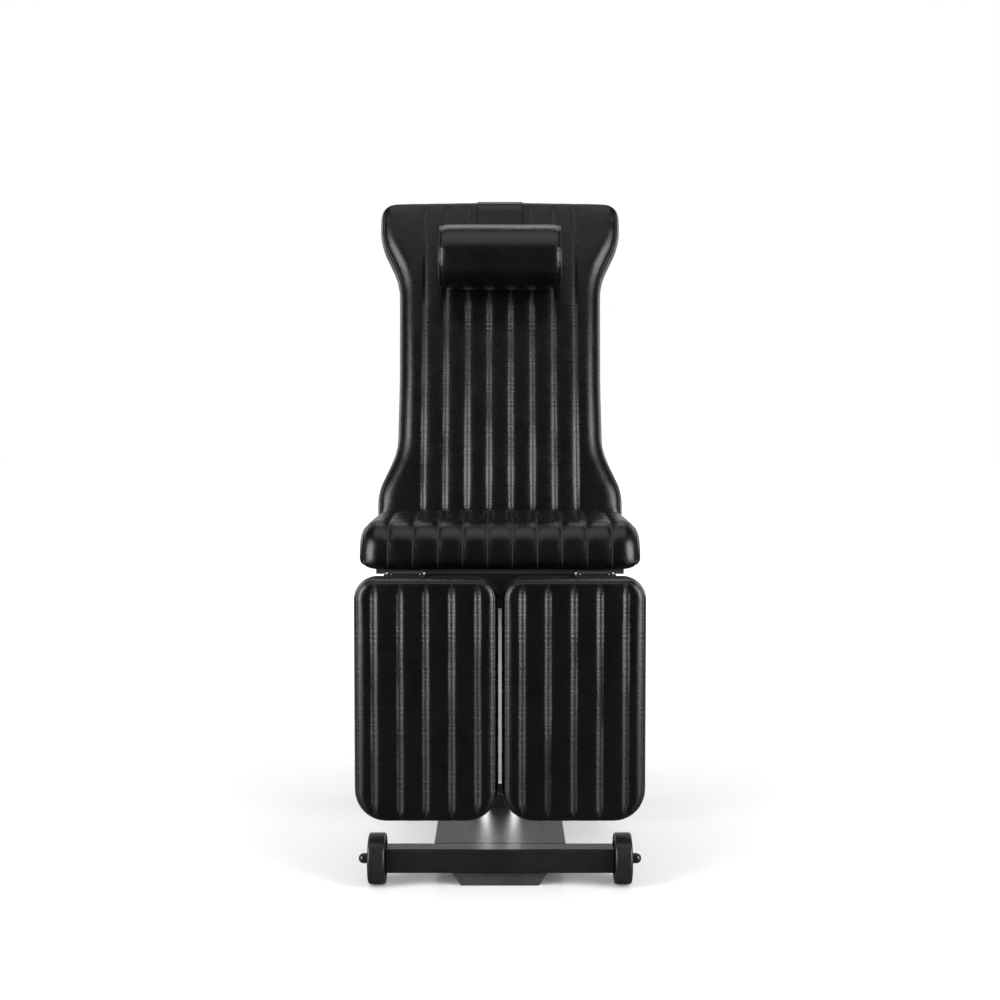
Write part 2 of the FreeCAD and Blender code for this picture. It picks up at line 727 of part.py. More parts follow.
def seat_frame_parts():
    rail = square_tube((rail_inner_x, rail_front, frame_underside),
                       (rail_outer_x, rail_rear, frame_top), frame_wall, frame_corner, 1)
    bolt_holes = [rod(board_bolt_radius, (rail_inner_x + frame_tube / 2, y, frame_underside),
                      (rail_inner_x + frame_tube / 2, y, frame_top + board_bolt_bite))
                  for y in board_bolt_ys]
    rail = rail.cut(Part.makeCompound(bolt_holes))
    front = square_tube((-rail_inner_x, rail_front, frame_underside),
                        (rail_inner_x, rail_front + frame_tube, frame_top), frame_wall,
                        frame_corner, 0)
    pieces = [rail, mirrored(rail), front]
    for y in (strut_tube_front, mount_tube_front, mount_tube_rear):
        pieces.append(square_tube((-rail_inner_x, y, low_tube_bottom),
                                  (rail_inner_x, y + frame_tube, frame_top), frame_wall,
                                  frame_corner, 0))
    mount_rear = mount_tube_rear + frame_tube
    floor_plate = box((-mount_box_half, mount_tube_front, upper_plate_top),
                      (mount_box_half, mount_rear, upper_plate_top + mount_wall))
    side = box((mount_box_half - mount_wall, mount_tube_front, upper_plate_top + mount_wall),
               (mount_box_half, mount_rear, low_tube_bottom))
    pieces += [floor_plate, side, mirrored(side)]

    leg_pivot = (leg_strut_y, leg_strut_z)
    back_pivot = (back_strut_y, back_strut_z)
    for x in (-leg_strut_x, leg_strut_x):
        pieces += hanging_lug(x, leg_pivot, mount_tube_front, mount_tube_front + frame_tube,
                              low_tube_bottom)
    pieces += hanging_lug(back_strut_x, back_pivot, strut_tube_front,
                          strut_tube_front + frame_tube, low_tube_bottom)
    for x_side, y in lever_places():
        block = box((lever_x - lever_hub_width / 2 - soft_gap - lever_block_width,
                     y - lever_block_depth / 2, lever_z - lever_hub_radius),
                    (lever_x - lever_hub_width / 2 - soft_gap, y + lever_block_depth / 2,
                     frame_underside))
        block = block.cut(lever_pin(y))
        pieces.append(block if x_side > 0 else mirrored(block))
    parts["seat_frame"] = Part.makeCompound(pieces)
    parts["strut_pins"] = Part.makeCompound([strut_pin(-leg_strut_x, leg_pivot),
                                             strut_pin(leg_strut_x, leg_pivot),
                                             strut_pin(back_strut_x, back_pivot)])

    corners = [(-board_half, board_front), (board_half, board_front), (board_half, board_notch_y),
               (board_tongue_half, board_notch_y), (board_tongue_half, board_rear),
               (-board_tongue_half, board_rear), (-board_tongue_half, board_notch_y),
               (-board_half, board_notch_y)]
    wire = [Vector(x, y, frame_top) for x, y in corners]
    board = Part.Face(Part.makePolygon(wire + wire[:1])).extrude(Vector(0, 0, board_thick))
    bolts = []
    for hole, y in zip(bolt_holes, board_bolt_ys):
        x = rail_inner_x + frame_tube / 2
        head = rod(board_bolt_head, (x, y, frame_underside - board_bolt_head_thick),
                   (x, y, frame_underside))
        bolt = join([hole, head])
        bolts += [bolt, mirrored(bolt)]
        board = board.cut(hole).cut(mirrored(hole))
    parts["seat_board_bolts"] = Part.makeCompound(bolts)
    parts["seat_board"] = board


def lever_places():
    return [(-1, leg_lever_y), (1, leg_lever_y), (1, recline_lever_y)]


def lever_pin(y):
    return rod(lever_pin_radius, (lever_x - lever_hub_width / 2 - lever_block_width, y, lever_z),
               (lever_x + lever_hub_width / 2, y, lever_z))


def lever_parts():
    names = ["leg_left_lever", "leg_right_lever", "recline_lever"]
    pins = []
    for name, (x_side, y) in zip(names, lever_places()):
        hub = tube(lever_hub_radius, lever_pin_radius + run_fit,
                   (lever_x - lever_hub_width / 2, y, lever_z),
                   (lever_x + lever_hub_width / 2, y, lever_z))
        arm = rod(lever_rod_radius, (lever_x, y - lever_hub_radius + lever_pin_radius / 2, lever_z),
                  (lever_x, y - lever_length, lever_z))
        grip = rod(lever_grip_radius, (lever_x, y - lever_length + lever_grip_length, lever_z),
                   (lever_x, y - lever_length, lever_z))
        handle = join([hub, arm, grip])
        pin = lever_pin(y)
        parts[name] = handle if x_side > 0 else mirrored(handle)
        pins.append(pin if x_side > 0 else mirrored(pin))
    parts["lever_pins"] = Part.makeCompound(pins)


def seat_section(x, inset):
    """The side profile of the seat cushion at x, drawn in by inset all round its top."""
    top = seat_height - inset
    front = seat_front + inset
    radius = seat_front_round - inset
    centre_y = seat_front + seat_front_round
    centre_z = seat_height - seat_front_round
    slope = math.radians(back_lean)
    tongue = back_bottom - tongue_clearance - inset
    flat_end = tongue_cross(tongue, top)
    ease = seat_front_round / 2
    tangent_y = back_hinge_y + tongue * math.sin(slope)
    tangent_z = back_hinge_z + tongue * math.cos(slope)
    half_turn = math.radians(back_lean + 90) / 2
    points = {
        "toe": (front + seat_draw_in, board_top),
        "belly": (front + seat_draw_in / 4, board_top + seat_belly),
        "breast": (front, centre_z),
        "brow": (centre_y - radius * math.cos(math.pi / 4),
                 centre_z + radius * math.sin(math.pi / 4)),
        "crest": (centre_y, top),
        "flat_end": (flat_end - ease, top),
        "ease": (flat_end, top - ease * math.tan(slope) / 4),
        "slope": (flat_end + ease * math.cos(slope), top - ease * math.sin(slope)),
        "tangent": (tangent_y, tangent_z),
        "rear_round": (back_hinge_y + tongue * math.sin(half_turn),
                       back_hinge_z + tongue * math.cos(half_turn)),
        "rear": (back_hinge_y + tongue, back_hinge_z),
        "heel": (back_hinge_y + tongue, board_top),
    }
    v = {name: Vector(x, y, z) for name, (y, z) in points.items()}
    edges = [Part.Arc(v["toe"], v["belly"], v["breast"]).toShape(),
             Part.Arc(v["breast"], v["brow"], v["crest"]).toShape(),
             Part.makeLine(v["crest"], v["flat_end"]),
             Part.Arc(v["flat_end"], v["ease"], v["slope"]).toShape(),
             Part.makeLine(v["slope"], v["tangent"]),
             Part.Arc(v["tangent"], v["rear_round"], v["rear"]).toShape(),
             Part.makeLine(v["rear"], v["heel"]),
             Part.makeLine(v["heel"], v["toe"])]
    return Part.Wire(edges)


def tongue_cross(tongue, top):
    """Where the sloping rear of the seat, tongue away from the hinge, meets height top."""
    slope = math.radians(back_lean)
    t = (top - back_hinge_z - tongue * math.cos(slope)) / math.sin(slope)
    return back_hinge_y + tongue * math.sin(slope) - t * math.cos(slope)


def seat_cushion():
    lines = line_places(0, seat_line_pitch, seat_line_count)
    slabs = []
    for a, b in zip(lines, lines[1:]):
        sections = [seat_section(a, line_depth), seat_section((a + b) / 2, 0),
                    seat_section(b, line_depth)]
        slabs.append(Part.makeLoft(sections, True, False))
    last = lines[-1]
    shoulder = seat_half - seat_side_round
    turns = [math.radians(a) for a in (0, 30, 60, 85)]
    stations = [(last, line_depth), ((last + shoulder) / 2, line_depth / 8)]
    stations += [(shoulder + seat_side_round * math.sin(a), seat_side_round * (1 - math.cos(a)))
                 for a in turns]
    for side in (-1, 1):
        sections = [seat_section(side * x, inset) for x, inset in stations]
        if side < 0:
            sections.reverse()
        slabs.append(Part.makeLoft(sections, True, False))
    body = slabs[0].multiFuse(slabs[1:])
    for side in (-1, 1):
        near = side * seat_tongue_half
        far = side * (seat_half + overrun)
        corner = box((min(near, far), seat_notch_y, board_top - overrun),
                     (max(near, far), back_hinge_y + back_surface, seat_height + overrun))
        body = body.cut(corner)
    parts["seat_cushion"] = body


def leg_hinge_parts():
    pin_from = leg_ear_inner - leg_pin_head_thick
    pin_to = leg_ear_outer + ear_thick
    pin = rod(leg_pin_radius, (pin_from, leg_hinge_y, leg_hinge_z), (pin_to, leg_hinge_y, leg_hinge_z))
    inner_head = rod(leg_pin_head, (pin_from, leg_hinge_y, leg_hinge_z),
                     (leg_ear_inner, leg_hinge_y, leg_hinge_z))
    outer_head = rod(leg_pin_head, (pin_to, leg_hinge_y, leg_hinge_z),
                     (pin_to + leg_pin_head_thick, leg_hinge_y, leg_hinge_z))
    full_pin = join([pin, inner_head, outer_head])
    parts["leg_hinge_pins"] = both_sides(full_pin)
    ears = []
    for x in (leg_ear_inner, leg_ear_outer):
        points = [(rail_front, leg_ear_bottom), (rail_front, frame_top),
                  (leg_hinge_y, leg_hinge_z + leg_ear_radius),
                  (leg_hinge_y - leg_ear_radius, leg_hinge_z),
                  (leg_hinge_y, leg_hinge_z - leg_ear_radius)]
        disc = rod(leg_ear_radius, (x, leg_hinge_y, leg_hinge_z),
                   (x + ear_thick, leg_hinge_y, leg_hinge_z))
        ears.append(join([plate(points, x, x + ear_thick), disc]).cut(pin))
    return ears + [mirrored(e) for e in ears]


def leg_rest_parts():
    low_x = leg_split
    high_x = leg_split + leg_width
    corners = [(low_x, leg_bottom), (high_x, leg_bottom), (high_x, leg_top), (low_x, leg_top)]
    radii = [leg_bottom_round, leg_bottom_round, leg_top_round, leg_top_round]
    outline = rounded_outline(corners, radii, lambda x, z: Vector(x, leg_back, z))
    lines = line_places(leg_centre, leg_line_pitch, leg_line_count)
    cushion = channelled_pad(outline, lines, low_x, high_x, leg_face, leg_cushion_thick,
                             leg_bottom, leg_top)

    inset = leg_board_inset
    board_top_z = leg_hinge_z - leg_barrel_radius - leg_tube_gap
    board_corners = [(low_x + inset, leg_bottom + inset), (high_x - inset, leg_bottom + inset),
                     (high_x - inset, board_top_z), (low_x + inset, board_top_z)]
    board_radii = [leg_bottom_round - inset, leg_bottom_round - inset, inset, inset]
    board_wire = rounded_outline(board_corners, board_radii, lambda x, z: Vector(x, leg_back, z))
    board = Part.Face(board_wire).extrude(Vector(0, leg_board_thick, 0))

    barrel = rod(leg_barrel_radius, (leg_barrel_start, leg_hinge_y, leg_hinge_z),
                 (leg_barrel_end, leg_hinge_y, leg_hinge_z))
    tube_low_x = leg_tube_x - leg_tube_width / 2
    tube_high_x = leg_tube_x + leg_tube_width / 2
    post = box((tube_low_x, leg_board_back, leg_tube_bottom),
               (tube_high_x, leg_board_back + leg_tube_depth, leg_hinge_z))
    fixing = box((leg_tube_x - leg_plate_half, leg_board_back, leg_tube_bottom),
                 (leg_tube_x + leg_plate_half, leg_board_back + flange_thick,
                  leg_tube_bottom + leg_plate_height))
    rod_pivot = (leg_hinge_y + leg_rod_back, leg_hinge_z - leg_rod_drop)
    post_back = leg_board_back + leg_tube_depth
    lug_points = [(post_back, rod_pivot[1] - strut_eye_radius * 2),
                  (post_back, rod_pivot[1] + strut_eye_radius * 2),
                  (rod_pivot[0], rod_pivot[1] + strut_eye_radius),
                  (rod_pivot[0], rod_pivot[1] - strut_eye_radius)]
    lug = lug_pair(leg_strut_x, rod_pivot, lug_points) + lug_stubs(leg_strut_x, rod_pivot)
    bracket = join([barrel, post, fixing] + lug)
    bracket = bracket.cut(rod(leg_pin_radius + run_fit,
                              (leg_barrel_start - overrun, leg_hinge_y, leg_hinge_z),
                              (leg_barrel_end + overrun, leg_hinge_y, leg_hinge_z)))
    for side, turn in (("right", lambda s: s), ("left", mirrored)):
        parts["leg_" + side + "_cushion"] = turn(cushion)
        parts["leg_" + side + "_board"] = turn(board)
        parts["leg_" + side + "_bracket"] = turn(bracket)


def lean_back(shape):
    """Place a piece drawn upright about the back hinge into the chair."""
    placed = shape.copy()
    placed.rotate(Vector(0, 0, 0), x_axis, -back_lean)
    placed.translate(Vector(0, back_hinge_y, back_hinge_z))
    return placed


def back_outline(inset, to_vector):
    right = [(back_top_half, back_top_corner), (back_top_half, back_top_bend),
             (back_upper_waist_half, back_upper_waist), (back_waist_half, back_waist),
             (back_lower_waist_half, back_lower_waist), (back_hip_half, back_hip),
             (back_bottom_half, back_bottom)]
    rounds = [back_top_round, back_bend_round, back_upper_round, back_waist_round,
              back_bend_round, back_hip_round, back_bottom_round]
    points = [(0, back_top_corner + back_top_crown)] + right
    points += [(-x, s) for x, s in reversed(right)]
    radii = [back_crown_round] + rounds + rounds[::-1]
    return rounded_outline(points, radii, to_vector)


def back_parts():
    outline = back_outline(0, lambda x, s: Vector(x, -back_board_front, s))
    lines = line_places(0, back_line_pitch, back_line_count)
    cushion = channelled_pad(outline, lines, -back_top_half, back_top_half, -back_surface,
                             back_cushion_thick, back_bottom, back_top_corner + back_top_crown)
    parts["back_cushion"] = lean_back(cushion)

    board_wire = back_outline(0, lambda x, s: Vector(x, -back_board_front, s))
    board_wire = board_wire.makeOffset2D(-back_board_inset)
    board = Part.Face(board_wire).extrude(Vector(0, back_board_thick, 0))
    parts["back_board"] = lean_back(board)

    front_y = -back_frame_front
    rear_y = -back_frame_rear
    pieces = []
    cross_low = square_tube((-back_arm_inner, front_y, back_cross_bottom),
                            (back_arm_inner, rear_y, back_cross_bottom + back_tube), frame_wall,
                            back_tube_corner, 0)
    pieces.append(cross_low)
    half_tube = back_tube / 2
    post = square_tube((back_upright_x - half_tube, front_y, back_cross_bottom + back_tube),
                       (back_upright_x + half_tube, rear_y, back_upright_top), frame_wall,
                       back_tube_corner, 2)
    pieces += [post, mirrored(post)]
    pieces.append(square_tube((half_tube - back_upright_x, front_y, back_upper_cross),
                              (back_upright_x - half_tube, rear_y, back_upper_cross + back_tube),
                              frame_wall, back_tube_corner, 0))
    reach = math.hypot(back_rod_back, back_rod_drop)
    way = Vector(0, back_rod_back / reach, -back_rod_drop / reach)
    upright = FreeCAD.Rotation(x_axis, back_lean)
    way = upright.multVec(way)
    tube_place = way * torque_tube_reach
    lever_end = way * reach
    arm_points = [(front_y, back_arm_top), (front_y, 0), (-hinge_eye_radius, 0),
                  (tube_place.y - torque_tube_radius, tube_place.z),
                  (tube_place.y + torque_tube_radius, tube_place.z),
                  (hinge_eye_radius, 0), (rear_y, hinge_eye_radius), (rear_y, back_arm_top)]
    eye = rod(hinge_eye_radius, (back_arm_inner, 0, 0), (back_arm_outer, 0, 0))
    tube_eye = rod(torque_tube_radius, (back_arm_inner, tube_place.y, tube_place.z),
                   (back_arm_outer, tube_place.y, tube_place.z))
    arm = join([plate(arm_points, back_arm_inner, back_arm_outer), eye, tube_eye])
    arm = arm.cut(rod(hinge_pin_radius + run_fit, (back_arm_inner - overrun, 0, 0),
                      (back_arm_outer + overrun, 0, 0)))
    pieces += [arm, mirrored(arm)]
    pieces.append(tube(torque_tube_radius, torque_tube_radius - torque_tube_wall,
                       (-back_arm_inner, tube_place.y, tube_place.z),
                       (back_arm_inner, tube_place.y, tube_place.z)))
    side_way = Vector(0, -way.z, way.y)
    lug_points = []
    for along, across in ((torque_tube_reach, -1), (torque_tube_reach, 1), (reach, 1), (reach, -1)):
        p = way * along + side_way * (across * (strut_eye_radius - strut_wall))
        lug_points.append((p.y, p.z))
    core = rod(torque_tube_radius, (0, tube_place.y, tube_place.z),
               (back_arm_inner, tube_place.y, tube_place.z))
    pivot = (lever_end.y, lever_end.z)
    for cheek, stub in zip(lug_pair(back_strut_x, pivot, lug_points),
                           lug_stubs(back_strut_x, pivot)):
        pieces.append(join([cheek, stub]).cut(core))
    parts["back_frame"] = lean_back(Part.makeCompound(pieces))

    ear_points = [(ear_foot_y, frame_underside), (ear_foot_y, frame_top),
                  (board_notch_y + soft_gap, frame_top),
                  (back_hinge_y - hinge_eye_radius, back_hinge_z),
                  (back_hinge_y + hinge_eye_radius, back_hinge_z),
                  (back_hinge_y, frame_top - hinge_eye_radius),
                  (rail_rear, frame_underside)]
    pin_from = back_arm_inner - pin_head_thick / 2
    pin_to = rail_outer_x + ear_thick
    pin = rod(hinge_pin_radius, (pin_from, back_hinge_y, back_hinge_z),
              (pin_to, back_hinge_y, back_hinge_z))
    head = rod(pin_head_radius, (pin_to, back_hinge_y, back_hinge_z),
               (pin_to + pin_head_thick, back_hinge_y, back_hinge_z))
    spacer = rod(pin_head_radius, (back_arm_outer + soft_gap, back_hinge_y, back_hinge_z),
                 (rail_outer_x, back_hinge_y, back_hinge_z))
    ear_disc = rod(hinge_eye_radius, (rail_outer_x, back_hinge_y, back_hinge_z),
                   (rail_outer_x + ear_thick, back_hinge_y, back_hinge_z))
    ear = join([plate(ear_points, rail_outer_x, rail_outer_x + ear_thick), ear_disc]).cut(pin)
    parts["back_hinge_pins"] = both_sides(join([pin, head, spacer]))
    return [ear, mirrored(ear)]


def headrest_parts():
    strap_front = -back_surface - soft_gap
    bolster_y = strap_front - strap_thick - soft_gap - bolster_radius
    roll = rod(bolster_radius, (-bolster_half, bolster_y, bolster_height),
               (bolster_half, bolster_y, bolster_height))
    rims = [e for e in roll.Edges if isinstance(e.Curve, Part.Circle)]
    parts["headrest_bolster"] = lean_back(roll.makeFillet(bolster_edge, rims))

    top = back_top_corner + back_top_crown + soft_gap
    rear = -back_frame_front + soft_gap
    outer = box((-strap_half, strap_front - strap_thick, strap_front_end),
                (strap_half, rear + strap_thick, top + strap_thick))
    bend = [e for e in outer.Edges if e.CenterOfMass.z > top and abs(e.CenterOfMass.x) < soft_gap]
    outer = outer.makeFillet(strap_thick + soft_gap, bend)
    inner = box((-strap_half - overrun, strap_front, strap_front_end - overrun),
                (strap_half + overrun, rear, top))
    below_rear = box((-strap_half - overrun, rear - overrun, strap_front_end - overrun),
                     (strap_half + overrun, rear + strap_thick + overrun, strap_rear_end))
    parts["headrest_strap"] = lean_back(outer.cut(inner).cut(below_rear))
    clamp = box((-strap_half, rear + strap_thick, strap_rear_end),
                (strap_half, rear + strap_thick + strap_plate_thick,
                 strap_rear_end + strap_plate_height))
    parts["strap_clamp_plate"] = lean_back(clamp)


def main():
    base_parts()
    wheel_parts()
    pump_parts()
    pedal_parts()
    seat_frame_parts()
    lever_parts()
    seat_cushion()
    ears = leg_hinge_parts()
    leg_rest_parts()
    ears += back_parts()
    parts["hinge_ears"] = Part.makeCompound(ears)
    headrest_parts()
    leg_hinge = (leg_hinge_y, leg_hinge_z)
    back_hinge = (back_hinge_y, back_hinge_z)
    strut("leg_right_strut", leg_strut_x, (leg_strut_y, leg_strut_z), leg_rod_back, leg_rod_drop,
          leg_hinge, leg_travel)
    strut("leg_left_strut", -leg_strut_x, (leg_strut_y, leg_strut_z), leg_rod_back, leg_rod_drop,
          leg_hinge, leg_travel)
    strut("back_strut", back_strut_x, (back_strut_y, back_strut_z), back_rod_back, back_rod_drop,
          back_hinge, back_travel)

    os.makedirs("parts", exist_ok=True)
    whole = Part.makeCompound(list(parts.values()))
    for name, shape in parts.items():
        good = all(s.isValid() and s.isClosed() for s in shape.Solids)
        if not good or not shape.Solids:
            print("CHECK", name, "solids", len(shape.Solids))
        shape.exportStep("parts/" + name + ".step")
    limits = whole.BoundBox
    print(len(parts), "nodes", "X", round(limits.XMin, 1), round(limits.XMax, 1), "Y",
          round(limits.YMin, 1), round(limits.YMax, 1), "Z", round(limits.ZMin, 1),
          round(limits.ZMax, 1))


main()
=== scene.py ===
import bpy
import bmesh
import json
import math
import numpy as np
from mathutils import Matrix, Vector, noise
from mathutils.bvhtree import BVHTree
from mathutils.kdtree import KDTree


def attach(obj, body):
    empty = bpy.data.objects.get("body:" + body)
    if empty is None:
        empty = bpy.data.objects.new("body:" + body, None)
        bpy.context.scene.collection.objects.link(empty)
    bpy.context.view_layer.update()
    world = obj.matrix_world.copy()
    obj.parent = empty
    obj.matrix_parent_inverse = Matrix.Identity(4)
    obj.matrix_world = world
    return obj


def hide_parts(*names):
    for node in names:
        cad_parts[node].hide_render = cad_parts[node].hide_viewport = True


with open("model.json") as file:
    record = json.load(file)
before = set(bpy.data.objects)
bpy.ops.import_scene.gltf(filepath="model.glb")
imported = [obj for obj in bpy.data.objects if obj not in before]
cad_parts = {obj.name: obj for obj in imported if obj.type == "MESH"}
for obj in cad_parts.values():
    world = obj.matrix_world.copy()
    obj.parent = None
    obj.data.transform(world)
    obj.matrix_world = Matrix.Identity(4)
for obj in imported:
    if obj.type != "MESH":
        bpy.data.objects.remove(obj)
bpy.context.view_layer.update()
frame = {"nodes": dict(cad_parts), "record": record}        # nodes and the imported record
scene = bpy.context.scene
print("frame loaded with", len(frame["nodes"]), "parts")

camera = {"place": (0.0, -3.395, 0.965), "tiltDown": 3.115, "lens": 52.92, "sensor": 36.0}


def makeCamera():
    eye = bpy.data.cameras.new("photoCamera")
    eye.lens, eye.sensor_width = camera["lens"], camera["sensor"]
    holder = bpy.data.objects.new("photoCamera", eye)
    holder.location = camera["place"]
    holder.rotation_euler = (math.radians(90 - camera["tiltDown"]), 0, 0)
    scene.collection.objects.link(holder)
    scene.camera = holder


makeCamera()
print("camera placed")


# small helpers for shader nodes

def newFinish(name, color, roughness, metallic=0.0):
    finish = bpy.data.materials.new(name)
    finish.use_nodes = True
    shader = finish.node_tree.nodes["Principled BSDF"]
    shader.inputs["Base Color"].default_value = (*color, 1)
    shader.inputs["Roughness"].default_value = roughness
    shader.inputs["Metallic"].default_value = metallic
    return finish, finish.node_tree, shader


def put(tree, kind, inputs, out=0, **settings):
    node = tree.nodes.new(kind)
    for key, value in settings.items():
        setattr(node, key, value)
    for key, value in inputs.items():
        if isinstance(value, bpy.types.NodeSocket):
            tree.links.new(value, node.inputs[key])
        else:
            node.inputs[key].default_value = value
    return node.outputs[out]


def where(tree, stretch=(1, 1, 1)):
    spot = put(tree, "ShaderNodeTexCoord", {}, out="Object")
    return put(tree, "ShaderNodeMapping", {"Vector": spot, "Scale": stretch})


def cloud(tree, spot, scale, detail=2.0, rough=0.5):
    return put(tree, "ShaderNodeTexNoise",
               {"Vector": spot, "Scale": scale, "Detail": detail, "Roughness": rough})


def spread(tree, value, fromLow, fromHigh, toLow, toHigh):
    return put(tree, "ShaderNodeMapRange",
               {"Value": value, "From Min": fromLow, "From Max": fromHigh,
                "To Min": toLow, "To Max": toHigh})


def sums(tree, kind, a, b):
    return put(tree, "ShaderNodeMath", {0: a, 1: b}, operation=kind)


def shade(tree, amount, dark, light):
    return put(tree, "ShaderNodeMix", {0: amount, 6: (*dark, 1), 7: (*light, 1)}, out=2,
               data_type="RGBA")


def raised(tree, height, distance, strength=1.0, under=None):
    inputs = {"Height": height, "Distance": distance, "Strength": strength}
    if under is not None:
        inputs["Normal"] = under
    return put(tree, "ShaderNodeBump", inputs)


leather = {
    "dark": (0.0008, 0.0008, 0.0009), "light": (0.0016, 0.0016, 0.0018), "mirror": 0.42,
    "roughness": (0.24, 0.31), "pebble": 520.0, "pebbleHeight": 0.00004,
    "pebbleEdge": 0.22, "fine": 1900.0, "fineShare": 0.35,
    "crease": 30.0, "creaseHeight": 0.00045, "tone": 9.0, "rub": 26.0,
    "dull": 0.5, "dullReach": (0.0004, 0.0015), "seamRub": 0.12,
    "puckerPitch": 190.0, "puckerStretch": 0.35, "puckerReach": 0.0095, "puckerHeight": 0.0010,
}


def leatherFinish(name, sewn):
    finish, tree, shader = newFinish(name, leather["dark"], 0.4)
    shader.inputs["Specular IOR Level"].default_value = leather["mirror"]
    spot = where(tree)
    tone = spread(tree, cloud(tree, spot, leather["tone"], 4.0), 0.35, 0.65, 0.0, 1.0)
    tree.links.new(shade(tree, tone, leather["dark"], leather["light"]),
                   shader.inputs["Base Color"])
    cells = put(tree, "ShaderNodeTexVoronoi", {"Vector": spot, "Scale": leather["pebble"]},
                feature="DISTANCE_TO_EDGE")
    pebble = spread(tree, cells, 0.0, leather["pebbleEdge"], 0.0, 1.0)
    fine = cloud(tree, spot, leather["fine"], 3.0)
    grain = sums(tree, "MULTIPLY", fine, leather["fineShare"])
    skin = raised(tree, sums(tree, "ADD", pebble, grain), leather["pebbleHeight"])
    folds = raised(tree, cloud(tree, spot, leather["crease"], 3.0, 0.6), leather["creaseHeight"],
                   under=skin)
    rub = cloud(tree, spot, leather["rub"], 5.0, 0.65)
    low, high = leather["roughness"]
    if sewn:
        seam = put(tree, "ShaderNodeAttribute", {}, out="Fac", attribute_name="seam")
        along = put(tree, "ShaderNodeAttribute", {}, out="Fac", attribute_name="along")
        outwards = sums(tree, "MULTIPLY", seam, leather["puckerStretch"])
        path = put(tree, "ShaderNodeCombineXYZ", {"X": outwards, "Y": along})
        ripple = cloud(tree, path, leather["puckerPitch"], 1.5, 0.5)
        near = spread(tree, seam, 0.0, leather["puckerReach"], 1.0, 0.0)
        folds = raised(tree, sums(tree, "MULTIPLY", ripple, near), leather["puckerHeight"],
                       under=folds)
        rub = sums(tree, "ADD", rub, sums(tree, "MULTIPLY", near, leather["seamRub"]))
    rough = spread(tree, rub, 0.3, 0.75, low, high)
    if sewn:
        dull = spread(tree, seam, *leather["dullReach"], leather["dull"], 0.0)
        rough = sums(tree, "ADD", rough, dull)
    tree.links.new(rough, shader.inputs["Roughness"])
    tree.links.new(folds, shader.inputs["Normal"])
    return finish


coat = {"patches": 14.0, "scuffs": 60.0, "scuffStretch": (1, 1, 6)}


def coatFinish(name, dark, light, roughness, peel, peelHeight, metallic=0.0):
    # sprayed or moulded skins: slight orange peel, darker patches and dull scuffs
    finish, tree, shader = newFinish(name, dark, roughness[0], metallic)
    spot = where(tree)
    patches = cloud(tree, spot, coat["patches"], 5.0, 0.6)
    tree.links.new(shade(tree, spread(tree, patches, 0.35, 0.7, 0.0, 1.0), dark, light),
                   shader.inputs["Base Color"])
    scuffs = cloud(tree, where(tree, coat["scuffStretch"]), coat["scuffs"], 4.0, 0.7)
    tree.links.new(spread(tree, scuffs, 0.3, 0.75, *roughness), shader.inputs["Roughness"])
    tree.links.new(raised(tree, cloud(tree, spot, peel, 3.0), peelHeight),
                   shader.inputs["Normal"])
    return finish


brushed = {"patches": 22.0}


def brushedFinish(name, color, tint, roughness, stretch, lines, lineHeight):
    # plated or drawn metal: fine lines along the stretch and a slow change of tint
    finish, tree, shader = newFinish(name, color, roughness[0], 1.0)
    marks = cloud(tree, where(tree, stretch), lines, 4.0, 0.6)
    patches = spread(tree, cloud(tree, where(tree), brushed["patches"], 3.0), 0.3, 0.7, 0, 1)
    tree.links.new(shade(tree, patches, color, tint), shader.inputs["Base Color"])
    tree.links.new(spread(tree, marks, 0.3, 0.75, *roughness), shader.inputs["Roughness"])
    tree.links.new(raised(tree, marks, lineHeight), shader.inputs["Normal"])
    return finish


wood = {
    "base": (0.02, 0.018, 0.016), "baseRoughness": 0.6,
    "dark": (0.0055, 0.0052, 0.005), "light": (0.013, 0.012, 0.011), "roughness": (0.5, 0.75),
    "grain": 5.0, "grainStretch": (60, 60, 2.5), "grainHeight": 0.0003,
}


def woodFinish(name):
    finish, tree, shader = newFinish(name, wood["base"], wood["baseRoughness"])
    grain = cloud(tree, where(tree, wood["grainStretch"]), wood["grain"], 6.0, 0.7)
    stain = shade(tree, spread(tree, grain, 0.35, 0.65, 0, 1), wood["dark"], wood["light"])
    tree.links.new(stain, shader.inputs["Base Color"])
    tree.links.new(spread(tree, grain, 0.3, 0.7, *wood["roughness"]), shader.inputs["Roughness"])
    tree.links.new(raised(tree, grain, wood["grainHeight"]), shader.inputs["Normal"])
    return finish


# thread colours: light is a painted sheen on the twist's crests and dark a painted shade in its hollows
thread = {
    "base": (0.02, 0.02, 0.021), "dark": (0.014, 0.014, 0.0145), "light": (0.045, 0.045, 0.047),
    "roughness": 0.5, "twistAndSheen": 420.0, "twistHeight": 0.00015,
}


def threadFinish(name):
    finish, tree, shader = newFinish(name, thread["base"], thread["roughness"])
    twistAndSheen = put(tree, "ShaderNodeTexWave",
                {"Vector": where(tree), "Scale": thread["twistAndSheen"], "Distortion": 2.0})
    # the colour follows the twist's bump: painted sheen on the crests, painted shade in the hollows
    tree.links.new(shade(tree, twistAndSheen, thread["dark"], thread["light"]),
                   shader.inputs["Base Color"])
    tree.links.new(raised(tree, twistAndSheen, thread["twistHeight"]), shader.inputs["Normal"])
    return finish


